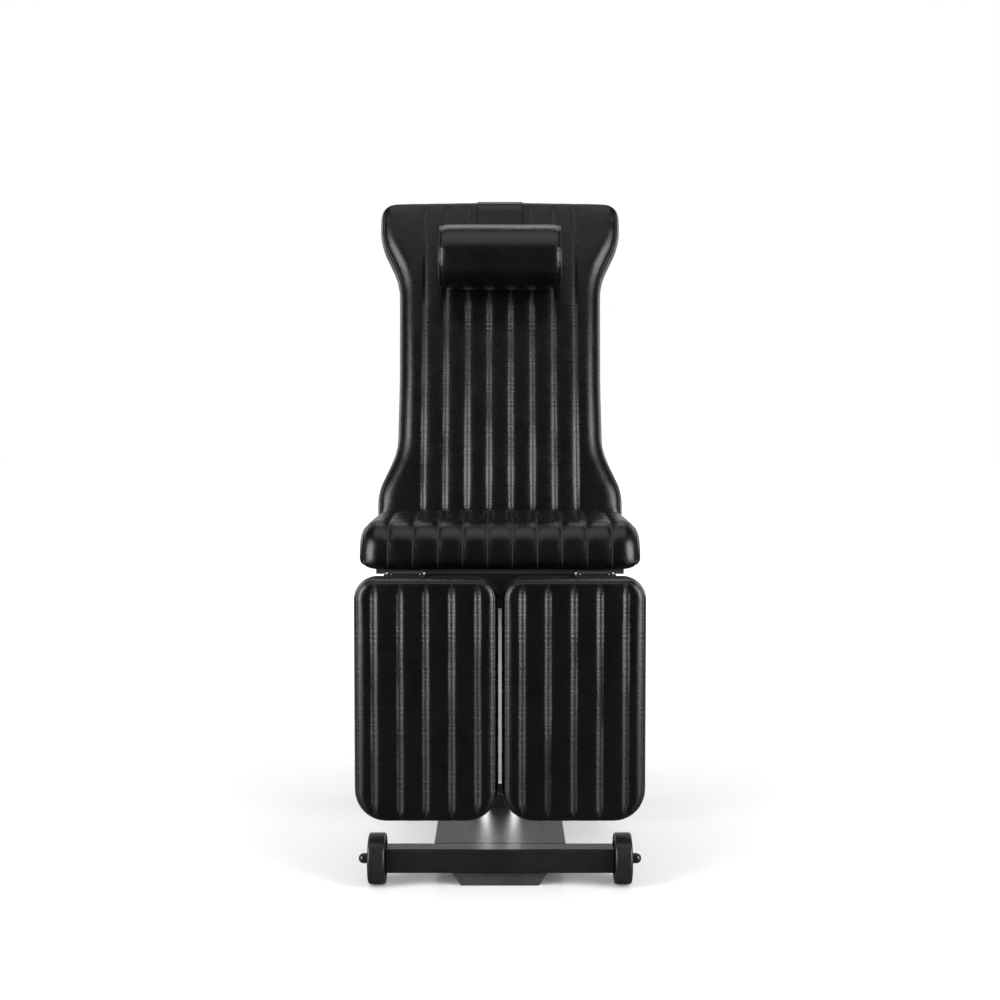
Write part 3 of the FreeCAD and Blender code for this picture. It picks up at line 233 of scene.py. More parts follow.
sewnLeather = leatherFinish("sewnLeather", True)
plainLeather = leatherFinish("plainLeather", False)
stitchThread = threadFinish("stitchThread")
finishes = {
    "upholstery": plainLeather,
    "strap_webbing": plainLeather,
    "black_steel": coatFinish("blackPowderCoat", (0.0035, 0.0035, 0.0037), (0.007, 0.007, 0.0073),
                              (0.30, 0.37), 1500.0, 0.00003),
    "chrome": brushedFinish("polishedChrome", (0.80, 0.80, 0.82), (0.70, 0.71, 0.74),
                            (0.05, 0.13), (1, 1, 1), 30.0, 0.00002),
    "zinc_steel": brushedFinish("zincPlate", (0.42, 0.42, 0.42), (0.36, 0.37, 0.40),
                                (0.26, 0.44), (8, 1, 1), 160.0, 0.00004),
    "strut_black": coatFinish("strutEnamel", (0.006, 0.006, 0.0065), (0.011, 0.011, 0.0115),
                              (0.16, 0.28), 700.0, 0.00002),
    "wheel_rubber": coatFinish("wheelTread", (0.005, 0.005, 0.0055), (0.013, 0.0125, 0.0125),
                               (0.24, 0.42), 600.0, 0.00006),
    "wheel_plastic": coatFinish("hubPlastic", (0.006, 0.006, 0.0065), (0.011, 0.011, 0.0115),
                                (0.2, 0.34), 900.0, 0.00004),
    "foot_rubber": coatFinish("footRubber", (0.012, 0.012, 0.012), (0.03, 0.029, 0.028),
                              (0.62, 0.85), 420.0, 0.0002),
    "painted_wood": woodFinish("stainedPlywood"),
    "satin": brushedFinish("satinSleeve", (0.92, 0.92, 0.93), (0.84, 0.84, 0.86),
                           (0.50, 0.60), (1, 1, 14), 40.0, 0.00002),
}
# parts whose finish differs in the photo from the rest of their slot
special = {"axle_dome_nuts": "strut_black", "wheel_axle_bolts": "strut_black",
           "lower_sleeve": "satin", "upper_sleeve": "satin", "leg_hinge_pins": "chrome"}


def dressFrame():
    for part in frame["record"]["subparts"]:
        node = frame["nodes"][part["node"]]
        node.data.materials.clear()
        kind = special.get(part["node"], part["material_slot"])
        node.data.materials.append(finishes[kind])


dressFrame()
print("finishes made:", len(bpy.data.materials))


# shapes shared by the sewn pads

chainStep = 0.0008          # between the points of a rounded outline
arcSteps = 24
onLine = 0.0008             # nearer than this to a sewn line is the line itself
unsewn = 0.03               # the seam value of leather that is far from every seam
crownReach = 0.026          # from a sewn line to where its channel stands full
crownEase = 0.7


def roundedChain(corners, radii):
    # an open line through corners, each rounded by its radius, sampled evenly
    dense = [Vector(corners[0])]
    for before, corner, after, radius in zip(corners, corners[1:], corners[2:], radii):
        tip = Vector(corner)
        a = (Vector(before) - tip).normalized()
        b = (Vector(after) - tip).normalized()
        half = a.angle(b) / 2
        centre = tip + (a + b).normalized() * radius / math.sin(half)
        arm = tip + a * radius / math.tan(half) - centre
        turn = math.pi - 2 * half
        if a.cross(b) > 0:
            turn = -turn
        for k in range(arcSteps + 1):
            dense.append(centre + Matrix.Rotation(turn * k / arcSteps, 2) @ arm)
    dense.append(Vector(corners[-1]))
    line = np.array([tuple(p) for p in dense])
    run = np.concatenate([[0], np.cumsum(np.hypot(*np.diff(line, axis=0).T))])
    even = np.linspace(0, run[-1], int(run[-1] / chainStep))
    return np.stack([np.interp(even, run, line[:, i]) for i in (0, 1)], 1)


def outwardOf(line):
    way = np.gradient(line, axis=0)
    way /= np.linalg.norm(way, axis=1)[:, None]
    return np.stack([way[:, 1], -way[:, 0]], 1)


def treeOf(points):
    tree = KDTree(len(points))
    for i, p in enumerate(points):
        tree.insert((p[0], p[1], 0), i)
    tree.balance()
    return tree


def rim(distance, radius):
    # how far a face has fallen at this distance from a quarter-round edge
    inside = radius - min(distance, radius)
    return radius - math.sqrt(radius * radius - inside * inside)


def ease(value, low, high):
    t = min(max((value - low) / (high - low), 0), 1)
    return t * t * (3 - 2 * t)


def fold(near, shoulder, depth):
    # the drop of a sewn channel at this distance from its line
    return depth * 0.5 * (1 + math.cos(math.pi * min(near / shoulder, 1)))


stuffing = {"wide": 0.0005, "small": 0.0002}         # heights of its slow and quick waves


def softness(x, s, seed):
    wide = noise.noise(Vector((x * 9, s * 6, seed)))
    small = noise.noise(Vector((x * 28, s * 17, seed + 5)))
    return wide * stuffing["wide"] + small * stuffing["small"]


shoulders = (0.0, 0.0015, 0.004, 0.0075, 0.013, 0.0195)
rimSteps = (0.0, 0.0018, 0.0045, 0.0085, 0.014, 0.0205)
sideShares = (0.16, 0.33, 0.50, 0.66, 0.81, 0.92, 0.972, 1.0)
columnReach = 0.013         # columns follow the sewn lines this far past the last one
rowStep = 0.0068


def columnPlaces(lines):
    spots = {round(x + side * d, 6) for x in lines for d in shoulders for side in (-1, 1)}
    spots |= {round((a + b) / 2, 6) for a, b in zip(lines, lines[1:])}
    return sorted(x for x in spots if abs(x) <= lines[-1] + columnReach + 1e-6)


def rowShares(length):
    count = int((length - 2 * rimSteps[-1]) / rowStep)
    middle = list(np.linspace(rimSteps[-1], length - rimSteps[-1], count + 1))
    rows = list(rimSteps[:-1]) + middle + [length - d for d in reversed(rimSteps[:-1])]
    return np.array(rows) / length


def extrudeRing(bm, ring, move):
    # ring holds its vertices with what each needs to find its next place
    edges = {e for v in ring for e in v.link_edges
             if len(e.link_faces) < 2 and e.other_vert(v) in ring}
    spots = {tuple(v.co): facts for v, facts in ring.items()}
    made = bmesh.ops.extrude_edge_only(bm, edges=list(edges))["geom"]
    fresh = {v: spots[tuple(v.co)] for v in made if isinstance(v, bmesh.types.BMVert)}
    for v, facts in fresh.items():
        v.co = move(facts)
    return fresh


def closeRing(bm, ring):
    edges = {e for v in ring for e in v.link_edges if e.is_boundary}
    face = bmesh.ops.contextual_create(bm, geom=list(edges))["faces"]
    bmesh.ops.triangulate(bm, faces=face)


def addPiece(name, bm, finish, place=None):
    if place is not None:
        bmesh.ops.transform(bm, matrix=place, verts=bm.verts)
    bmesh.ops.recalc_face_normals(bm, faces=bm.faces)
    for face in bm.faces:
        face.smooth = True
    mesh = bpy.data.meshes.new(name)
    bm.to_mesh(mesh)
    bm.free()
    mesh.materials.append(finish)
    piece = bpy.data.objects.new(name, mesh)
    scene.collection.objects.link(piece)
    return piece


def smoothOver(piece):
    sub = piece.modifiers.new("smoothOver", "SUBSURF")
    sub.levels = sub.render_levels = 1
    sub.use_limit_surface = False
    return piece


sewing = {
    "lean": 52.0,               # the side panel leaves the seam at this slope
    "seamTuck": 0.0007, "foldSwing": 0.35, "softFrom": 0.012,
    "underSteps": (0.1, 0.24, 0.45, 0.7, 1.0), "wallSteps": (0.5, 1.0), "backTurns": (30, 60, 90),
    "backInset": 0.016,
}


def sewnPad(name, pad, place):
    # a pad drawn flat: x across, y into the foam, z up. Its front is a grid whose
    # columns follow the sewn lines, and rings carry it round to a closed back.
    edge = roundedChain(pad["corners"], pad["radii"])
    outward = outwardOf(edge)
    seam = edge - outward * pad["seamInset"]
    heading = np.degrees(np.arctan2(outward[:, 1], outward[:, 0]))
    low = int(np.argmax(heading > -45))
    high = int(len(heading) - 1 - np.argmax(heading[::-1] < 45))
    index = np.arange(len(seam))
    inner = columnPlaces(pad["lines"])
    rows = rowShares(seam[-1, 1] - seam[0, 1])
    last = inner[-1]
    lowFrom = np.interp(last, seam[:low + 1, 0], index[:low + 1])
    highFrom = np.interp(last, seam[high:, 0][::-1], index[high:][::-1])

    def at(i):
        return np.array([np.interp(i, index, seam[:, 0]), np.interp(i, index, seam[:, 1])])

    def innerSpot(x, v):
        x = abs(x)
        bottom = np.interp(x, seam[:low + 1, 0], seam[:low + 1, 1])
        top = np.interp(x, seam[high:, 0][::-1], seam[high:, 1][::-1])
        return np.array([x, bottom + (top - bottom) * v])

    def outerSpot(f, v):
        side = at(low + v * (high - low))
        bottom = at(lowFrom + f * (low - lowFrom))
        top = at(highFrom + f * (high - highFrom))
        flat = ((1 - f) * (1 - v) * at(lowFrom) + f * (1 - v) * at(low)
                + (1 - f) * v * at(highFrom) + f * v * at(high))
        return (1 - f) * innerSpot(last, v) + f * side + (1 - v) * bottom + v * top - flat

    outer = len(sideShares)
    across = len(inner) + 2 * outer - 1
    bm = bmesh.new()
    seamLayer = bm.verts.layers.float.new("seam")
    alongLayer = bm.verts.layers.float.new("along")
    holdLayer = bm.verts.layers.float.new("hold")
    bmesh.ops.create_grid(bm, x_segments=across, y_segments=len(rows) - 1, size=0.5)
    sideTree = treeOf(edge[low:high])
    endTree = treeOf(np.concatenate([edge[:low], edge[high:]]))
    seamTree = treeOf(seam)
    ring = {}
    for v in bm.verts:
        i, j = round((v.co.x + 0.5) * across), round((v.co.y + 0.5) * (len(rows) - 1))
        k = i - outer
        sign = -1 if k < 0 or (k < len(inner) and inner[k] < 0) else 1
        if 0 <= k < len(inner):
            x, s = innerSpot(inner[k], rows[j])
        else:
            x, s = outerSpot(sideShares[-k - 1 if k < 0 else k - len(inner)], rows[j])
        toSide = sideTree.find((x, s, 0))[2]
        toEnd = endTree.find((x, s, 0))[2]
        near = min(abs(sign * x - line) for line in pad["lines"])
        toEdge = min(toSide, toEnd) - pad["seamInset"]
        clear = ease(toEnd, pad["seamInset"], pad["endReach"])
        fade = pad["endFold"] + (1 - pad["endFold"]) * clear
        crown = pad["crown"] * min(near / crownReach, 1) ** crownEase
        swing = noise.noise(Vector((sign * x * 30, s * 11, pad["seed"] + 9)))
        fade *= 1 + sewing["foldSwing"] * swing
        depth = fold(near, pad["shoulder"], pad["foldDepth"]) * fade + pad["crown"] - crown
        share = toEnd / (toSide + toEnd)
        depth += rim(min(toSide, toEnd), pad["endRound"] + share * pad["roundMore"])
        soft = ease(min(near, toEdge), 0.0, sewing["softFrom"])
        depth += softness(sign * x, s, pad["seed"]) * soft
        border = i in (0, across) or j in (0, len(rows) - 1)
        v[seamLayer] = min(near, toEdge)
        v[alongLayer] = s
        v[holdLayer] = 1.0 if border or near < onLine else 0.0
        if border:
            n = seamTree.find((x, s, 0))[1]
            facts = (edge[n] * (sign, 1), outward[n] * (sign, 1), depth)
            x -= outward[n, 0] * sewing["seamTuck"]
            s -= outward[n, 1] * sewing["seamTuck"]
            depth += pad["seamDepth"]
            ring[v] = facts
        v.co = (sign * x, depth, s)

    lean = math.radians(sewing["lean"])
    reach = pad["seamInset"] / (1 - math.sin(lean))
    fall = reach * math.cos(lean)

    def wallRing(ring, outset, depthOf, seamGap, hold):
        def move(facts):
            spot = facts[0] + facts[1] * outset
            return (spot[0], depthOf(facts[2]), spot[1])
        fresh = extrudeRing(bm, ring, move)
        for v in fresh:
            v[seamLayer], v[holdLayer] = seamGap, hold
            v[alongLayer] = v.co.z
        return fresh

    for share in sewing["underSteps"]:
        turn = lean + (math.pi / 2 - lean) * share
        outset = reach * math.sin(turn) - reach
        down = reach * (math.cos(lean) - math.cos(turn))
        ring = wallRing(ring, outset, lambda z: z + down, down, 0.0)
    thick, curve = pad["thick"], pad["backRound"]
    for share in sewing["wallSteps"]:
        ring = wallRing(ring, 0, lambda z: z + fall + (thick - curve - z - fall) * share,
                        unsewn, share)
    for turn in sewing["backTurns"]:
        outset = curve * (math.cos(math.radians(turn)) - 1)
        depth = thick - curve + curve * math.sin(math.radians(turn))
        ring = wallRing(ring, outset, lambda z: depth, unsewn, 1.0)
    ring = wallRing(ring, -curve - sewing["backInset"], lambda z: thick, unsewn, 1.0)
    closeRing(bm, ring)
    return addPiece(name, bm, sewnLeather, place), (edge, outward, seam)


puffing = {
    "frames": 14, "pressure": 3.2, "quality": 4, "mass": 0.4, "stretch": 22, "shear": 12,
    "bending": 2.5, "airDamping": 4,
}
waiting = []                # soft pieces that the one simulation run will fill


def puffLater(piece, cap):
    waiting.append((piece, cap))


def puffAll():
    # every pad at once: sewn lines, seams and backs are held, the leather between fills out
    starts = {}
    for piece, _ in waiting:
        hold = piece.data.attributes["hold"].data
        group = piece.vertex_groups.new(name="held")
        group.add([i for i, h in enumerate(hold) if h.value > 0.5], 1.0, "REPLACE")
        starts[piece] = np.array([v.co[:] for v in piece.data.vertices])
        cloth = piece.modifiers.new("puff", "CLOTH")
        cloth.settings.quality = puffing["quality"]
        cloth.settings.mass = puffing["mass"]
        cloth.settings.tension_stiffness = puffing["stretch"]
        cloth.settings.compression_stiffness = puffing["stretch"]
        cloth.settings.shear_stiffness = puffing["shear"]
        cloth.settings.bending_stiffness = puffing["bending"]
        cloth.settings.air_damping = puffing["airDamping"]
        cloth.settings.vertex_group_mass = "held"
        cloth.settings.use_pressure = True
        cloth.settings.uniform_pressure_force = puffing["pressure"]
        cloth.settings.effector_weights.gravity = 0
        cloth.collision_settings.use_collision = False
        cloth.point_cache.frame_start, cloth.point_cache.frame_end = 1, puffing["frames"]
    for step in range(1, puffing["frames"] + 1):
        scene.frame_set(step)
    for piece, cap in waiting:          # no point moves further than the pad's cap
        shaped = piece.evaluated_get(bpy.context.evaluated_depsgraph_get()).data
        moved = np.array([v.co[:] for v in shaped.vertices]) - starts[piece]
        far = np.linalg.norm(moved, axis=1)[:, None]
        moved *= cap * np.tanh(far / cap) / np.maximum(far, 1e-9)
        piece.modifiers.remove(piece.modifiers["puff"])
        piece.data.vertices.foreach_set("co", (starts[piece] + moved).astype(np.float32).ravel())
        piece.data.update()
        print("puffed", piece.name, "by up to", round(float(far.max()) * 1000, 1), "mm")
    scene.frame_set(1)


stitch = {
    "pitch": 0.0044, "half": 0.0018, "radius": 0.00058, "lift": 0.0001,
    "batch": 12,                # joined a few at a time, which is much faster
    "endGap": 0.006, "rayFrom": 0.05, "rayLength": 0.3,
}


def sewStitches(name, target, runs):
    # each run is a list of rays, one for each stitch, that find the leather under the thread
    tree = BVHTree.FromObject(target, bpy.context.evaluated_depsgraph_get())
    bm = bmesh.new()
    size = Matrix.Diagonal((stitch["radius"], stitch["radius"], stitch["half"], 1))
    places = []
    for run in runs:
        hits = [tree.ray_cast(start, way, stitch["rayLength"])[:2] for start, way in run]
        hits = [h for h in hits if h[0] is not None]
        for before, here, after in zip(hits, hits[1:], hits[2:]):
            along = (after[0] - before[0]).normalized()
            side = along.cross(here[1]).normalized()
            turn = Matrix((side, side.cross(along) * -1, along)).transposed().to_4x4()
            places.append(Matrix.Translation(here[0] + here[1] * stitch["lift"]) @ turn @ size)
    few = bpy.data.meshes.new("fewStitches")
    for first in range(0, len(places), stitch["batch"]):
        row = bmesh.new()
        for place in places[first:first + stitch["batch"]]:
            bmesh.ops.create_uvsphere(row, u_segments=5, v_segments=4, radius=1, matrix=place)
        row.to_mesh(few)
        row.free()
        bm.from_mesh(few)
    bpy.data.meshes.remove(few)
    return addPiece(name, bm, stitchThread)


def padStitches(name, target, pad, outline, place):
    edge, outward, seam = outline
    turn = place.to_3x3()
    gap, away = stitch["endGap"], stitch["rayFrom"]
    lowSeam, highSeam = seam[:len(seam) // 3], seam[-len(seam) // 3:][::-1]
    runs = []
    for x in pad["lines"]:
        bottom = np.interp(abs(x), lowSeam[:, 0], lowSeam[:, 1])
        top = np.interp(abs(x), highSeam[:, 0], highSeam[:, 1])
        spots = np.arange(bottom + gap, top - gap, stitch["pitch"])
        runs.append([(place @ Vector((x, -away, s)), turn @ Vector((0, 1, 0))) for s in spots])
    every = int(stitch["pitch"] / chainStep)
    for sign in (-1, 1):
        rays = []
        for p, n in zip(edge[::every], outward[::every]):
            start = Vector((sign * (p[0] + n[0] * away), pad["topStitch"], p[1] + n[1] * away))
            way = Vector((-sign * n[0], 0, -n[1]))
            rays.append((place @ start, turn @ way))
        runs.append(rays)
    return sewStitches(name, target, runs)


def spaced(count, pitch):
    return [(i - (count - 1) / 2) * pitch for i in range(count)]


# the reclining back

back = {
    "hinge": (0.1276, 0.660), "lean": 15.0, "surface": 0.092,
    "corners": ((0, 0.050), (0.289, 0.050), (0.2902, 0.123), (0.2439, 0.224), (0.2417, 0.390),
                (0.2449, 0.647), (0.2945, 0.751), (0.2940, 0.8475), (0, 0.8520)),
    "radii": (0.022, 0.12, 0.16, 3.0, 0.20, 0.15, 0.036),
    "lines": spaced(8, 0.0519), "thick": 0.070, "backRound": 0.007,
    "seamInset": 0.0085, "seamDepth": 0.0023, "endRound": 0.014, "roundMore": 0.026,
    "shoulder": 0.0080, "foldDepth": 0.0031, "crown": 0.0004, "endFold": 0.10,
    "endReach": 0.036, "seed": 3.0, "topStitch": 0.038, "puffCap": 0.0009,
}


def backPlace():
    y, z = back["hinge"]
    lean = Matrix.Rotation(math.radians(-back["lean"]), 4, "X")
    return Matrix.Translation((0, y, z)) @ lean @ Matrix.Translation((0, -back["surface"], 0))


def makeBack():
    piece, outline = sewnPad("back_cushion_cover", back, backPlace())
    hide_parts("back_cushion")
    puffLater(piece, back["puffCap"])
    return piece, outline


# the two leg rests

legRest = {
    "centre": 0.1515, "face": -0.428,
    "corners": ((0, 0.140), (0.148, 0.140), (0.148, 0.644), (0, 0.644)), "radii": (0.065, 0.045),
    "lines": spaced(5, 0.053), "thick": 0.062, "backRound": 0.006,
    "seamInset": 0.0085, "seamDepth": 0.0023, "endRound": 0.017, "roundMore": 0.010,
    "shoulder": 0.0095, "foldDepth": 0.0038, "crown": 0.0007, "endFold": 0.15,
    "endReach": 0.036, "seed": 11.0, "topStitch": 0.030, "puffCap": 0.0012,
}


def makeLegRest(side, sign):
    pad = dict(legRest, seed=legRest["seed"] + sign * 4)
    place = Matrix.Translation((sign * legRest["centre"], legRest["face"], 0))
    piece, outline = sewnPad("leg_" + side + "_cushion_cover", pad, place)
    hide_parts("leg_" + side + "_cushion")
    puffLater(piece, legRest["puffCap"])
    return piece, outline, pad, place


# the seat

seat = {
    "corners": ((-0.302, 0.650), (-0.3255, 0.6505), (-0.328, 0.752), (-0.0342, 0.752),
                (0.1746, 0.6961), (0.1746, 0.655), (0.150, 0.655)),
    "radii": (0.022, 0.074, 0.060, 0.047, 0.006),
    "lines": spaced(10, 0.05245), "half": 0.298, "sideRound": 0.042, "tongueHalf": 0.231,
    "notch": 0.046, "board": 0.655, "bottomRound": 0.026, "front": -0.328,
    "shoulder": 0.0120, "foldDepth": 0.0030, "crown": 0.0012, "seed": 21.0,
    "frontFold": 0.5, "frontReach": (0.69, 0.735), "notchRound": 0.012,
    "rise": 0.0095, "riseUp": (-0.30, -0.07), "riseDown": (-0.03, 0.05), "riseOver": 0.05,
    "frontStep": 0.0066, "rearStep": 0.011, "bottomStep": 0.03, "rearRun": 0.125,
    "sideSteps": (0.35, 0.7, 1.0), "turns": (10, 20, 30, 40, 46, 52, 61, 70, 80, 90),
    "seamTurn": 46, "heldTurn": 1.2, "toeReach": 0.03, "seamTuck": (0.0008, 0.001),
    "softFrom": 0.012, "puffCap": 0.0022, "stitchFrom": 0.012, "stitchEnd": 0.06,
    "stitchRay": 0.04,
}


def seatProfile():
    line = roundedChain(seat["corners"], seat["radii"])
    outward = -outwardOf(line)
    run = np.arange(len(line)) * chainStep
    total = run[-1]
    flat = total - seat["rearRun"]            # where the rear of the tongue begins
    picks = list(np.arange(0, flat, seat["frontStep"]))
    picks += list(np.arange(flat, total - 0.002, seat["rearStep"])) + [total]
    points = [(np.interp(p, run, line[:, 0]), np.interp(p, run, line[:, 1])) for p in picks]
    ways = [(np.interp(p, run, outward[:, 0]), np.interp(p, run, outward[:, 1])) for p in picks]
    under = np.arange(line[-1, 0] - seat["bottomStep"], line[0, 0] + 0.01, -seat["bottomStep"])
    count = len(points)
    for y in under:
        points.append((y, seat["board"]))
        ways.append((0.0, -1.0))
        picks.append(total + line[-1, 0] - y)
    return points, ways, picks, count


def seatStations():
    inner = [x for x in columnPlaces(seat["lines"]) if x >= 0]
    shoulder = seat["half"] - seat["sideRound"]
    stations = [(x, 0.0) for x in inner]
    edge = inner[-1]
    stations += [(edge + (shoulder - edge) * f, 0.0) for f in seat["sideSteps"]]
    for turn in seat["turns"]:
        a = math.radians(turn)
        stations.append((shoulder + seat["sideRound"] * math.sin(a), a))
    return [(-x, a) for x, a in reversed(stations) if x > 0] + stations


def seatSpot(x, turn, point, way, over):
    # over is 1 on the covered top and front and 0 under the seat
    near = min(abs(x - line) for line in seat["lines"])
    drop = seat["sideRound"] * (1 - math.cos(turn))
    crown = seat["crown"] * (1 - min(near / crownReach, 1) ** crownEase)
    calm = seat["frontFold"] + (1 - seat["frontFold"]) * ease(point[1], *seat["frontReach"])
    inset = (fold(near, seat["shoulder"], seat["foldDepth"]) + crown) * over * calm + drop * over
    y, z = point[0] - way[0] * inset, point[1] - way[1] * inset
    if over > 0:
        push = softness(x, y + z, seat["seed"]) * ease(near, 0, seat["softFrom"]) * over
        y, z = y + way[0] * push, z + way[1] * push
        if z > seat["board"] + seat["riseOver"]:        # the stuffed top stands a little higher
            up = ease(y, *seat["riseUp"]) * (1 - ease(y, *seat["riseDown"]))
            z += seat["rise"] * up * (1 - (x / seat["half"]) ** 4)
    z = max(z, min(point[1], seat["board"]) + seat["bottomRound"] * (1 - math.cos(turn)))
    y = max(y, seat["front"] + drop)
    if abs(x) > seat["tongueHalf"]:
        y = min(y, seat["notch"] - seat["notchRound"] * (1 - math.cos(turn)))
    return Vector((x, y, z)), near


def makeSeat():
    points, ways, picks, covered = seatProfile()
    total = len(points)
    bm = bmesh.new()
    seamLayer = bm.verts.layers.float.new("seam")
    alongLayer = bm.verts.layers.float.new("along")
    holdLayer = bm.verts.layers.float.new("hold")
    first = bmesh.ops.create_circle(bm, segments=total, radius=1)["verts"]
    stations = seatStations()
    overs = [min(picks[k] / seat["toeReach"], 1) if k < covered else 0.0 for k in range(total)]
    seamTurn = math.radians(seat["seamTurn"])
    sideTuck, faceTuck = seat["seamTuck"]

    def setSpot(v, k, x, turn):
        v.co, near = seatSpot(x, turn, points[k], ways[k], overs[k])
        border = abs(turn - seamTurn) < 0.01
        if border:
            v.co -= Vector((math.copysign(sideTuck, x), 0, 0)) + Vector((0, *ways[k])) * faceTuck
        toSeam = abs(turn - seamTurn) * seat["sideRound"] if turn > 0 else 0.02
        v[seamLayer] = min(near if turn == 0 else unsewn, toSeam) if k < covered else unsewn
        v[alongLayer] = picks[k]
        rear = points[k][0] > seat["notch"] - 0.01
        held = k >= covered or overs[k] < 0.3 or rear or border or turn > seat["heldTurn"]
        v[holdLayer] = 1.0 if held or (near < onLine and turn == 0) else 0.0

    x, turn = stations[0]
    ring = {}
    for k, v in enumerate(first):
        setSpot(v, k, x, turn)
        ring[v] = k
    firstRing = dict(ring)
    for x, turn in stations[1:]:
        ring = extrudeRing(bm, ring, lambda k: (0, 0, 0))
        for v, k in ring.items():
            setSpot(v, k, x, turn)
    for loop in (firstRing, ring):
        closeRing(bm, loop)
    piece = addPiece("seat_cushion_cover", bm, sewnLeather)
    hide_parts("seat_cushion")
    puffLater(piece, seat["puffCap"])
    return piece


def seatStitches(target):
    points, ways, picks, covered = seatProfile()
    runs = []
    away = seat["stitchRay"]
    keep = [k for k in range(covered)
            if picks[k] > seat["stitchFrom"] and points[k][0] < seat["stitchEnd"]]
    run = [picks[k] for k in keep]
    spots = np.arange(run[0], run[-1], stitch["pitch"])
    for x in seat["lines"]:
        rays = []
        for spot in spots:
            p = [np.interp(spot, run, [points[k][i] for k in keep]) for i in (0, 1)]
            n = [np.interp(spot, run, [ways[k][i] for k in keep]) for i in (0, 1)]
            start = Vector((x, p[0] + n[0] * away, p[1] + n[1] * away))
            rays.append((start, Vector((0, -n[0], -n[1])).normalized()))
        runs.append(rays)
    return sewStitches("seat_stitching", target, runs)


# cushions and stitches in their final form

backPiece, backOutline = makeBack()
legPieces = {side: makeLegRest(side, sign) for side, sign in (("left", -1), ("right", 1))}
seatPiece = makeSeat()
print("cushion forms made")
puffAll()
for piece in (backPiece, seatPiece, *(leg[0] for leg in legPieces.values())):
    smoothOver(piece)
    print(piece.name, "faces", len(piece.data.polygons))
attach(backPiece, "backrest")
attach(seatPiece, "seat")
backThread = padStitches("back_stitching", backPiece, back, backOutline, backPlace())
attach(backThread, "backrest")
seatThread = seatStitches(seatPiece)
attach(seatThread, "seat")
for side, (piece, outline, pad, place) in legPieces.items():
    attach(piece, "leg_" + side)
    legThread = padStitches("leg_" + side + "_stitching", piece, pad, outline, place)
    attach(legThread, "leg_" + side)
print("stitches sewn")


# the headrest roll and its strap

bolster = {
    "radius": 0.077, "half": 0.1495, "height": 0.671, "gap": 0.0031, "steps": 96,
    "pipe": 0.0024, "pipeX": 0.1415, "pipeRadius": 0.0730, "puckers": 30,
    "pucker": 0.00035, "puckerReach": (0.002, 0.022), "softness": 0.8, "join": 0.00001,
    # the end from its middle outwards: distance in from the end, radius
    "end": ((0.0, 0.0), (0.0002, 0.016), (0.0008, 0.034), (0.0022, 0.05), (0.0045, 0.062)),
    # over the piping: distance out from its groove, radius
    "groove": ((0.0015, 0.0698), (0.0, 0.0716), (-0.0018, 0.0732), (-0.006, 0.0752),
               (-0.014, 0.0765)),
    "bodyFrom": 0.014, "bodyStep": 0.0113, "bodySteps": 11,
}


def bolsterPlace():
    depth = -bolster["gap"] - bolster["radius"]
    return backPlace() @ Matrix.Translation((0, depth, bolster["height"]))


def makeBolster():
    r, half, pipeX = bolster["radius"], bolster["half"], bolster["pipeX"]
    profile = [(half - x, y) for x, y in bolster["end"]]
    profile += [(pipeX + x, y) for x, y in bolster["groove"]]
    profile += [(pipeX - bolster["bodyFrom"] - bolster["bodyStep"] * k, r)
                for k in range(1, bolster["bodySteps"] + 1)]
    profile += [(-x, y) for x, y in reversed(profile[:-1])]
    bm = bmesh.new()
    verts = [bm.verts.new((x, 0, y)) for x, y in profile]
    edges = [bm.edges.new(pair) for pair in zip(verts, verts[1:])]
    bmesh.ops.spin(bm, geom=verts + edges, cent=(0, 0, 0), axis=(1, 0, 0), dvec=(0, 0, 0),
                   angle=math.tau, steps=bolster["steps"], use_merge=True)
    bmesh.ops.remove_doubles(bm, verts=bm.verts, dist=bolster["join"])
    for v in bm.verts:
        turn = math.atan2(v.co.y, v.co.z)
        fromPipe = pipeX - abs(v.co.x)
        away = Vector((0, v.co.y, v.co.z))
        if away.length > 0.02:
            ripple = math.sin(turn * bolster["puckers"] + 2 * noise.noise(v.co * 30))
            calm = ease(abs(fromPipe), *bolster["puckerReach"])
            push = ripple * bolster["pucker"] * (1 - calm)
            push += softness(v.co.x, turn * 0.08, 31.0) * bolster["softness"]
            v.co += away.normalized() * push
    piece = addPiece("headrest_bolster_cover", bm, plainLeather, bolsterPlace())
    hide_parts("headrest_bolster")
    smoothOver(piece)
    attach(piece, "headrest")


def makePiping():
    bm = bmesh.new()
    for x in (-bolster["pipeX"], bolster["pipeX"]):
        spot = Matrix.Translation((x, 0, bolster["pipeRadius"]))
        ring = bmesh.ops.create_circle(bm, segments=10, radius=bolster["pipe"],
                                       matrix=spot @ Matrix.Rotation(math.pi / 2, 4, "X"))["verts"]
        edges = list({e for v in ring for e in v.link_edges})
        bmesh.ops.spin(bm, geom=ring + edges, cent=(0, 0, 0), axis=(1, 0, 0), dvec=(0, 0, 0),
                       angle=math.tau, steps=bolster["steps"], use_merge=True)
    bmesh.ops.remove_doubles(bm, verts=bm.verts, dist=bolster["join"])
    piece = addPiece("headrest_piping", bm, plainLeather, bolsterPlace())
    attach(piece, "headrest")


strap = {
    "half": 0.0565, "face": -0.0012, "front": 0.633, "top": 0.8500, "rearDepth": 0.0853,
    "rear": 0.765, "every": 5,
    "thick": 0.0042, "overRound": 0.026, "rearRound": 0.006, "columns": 12,
}


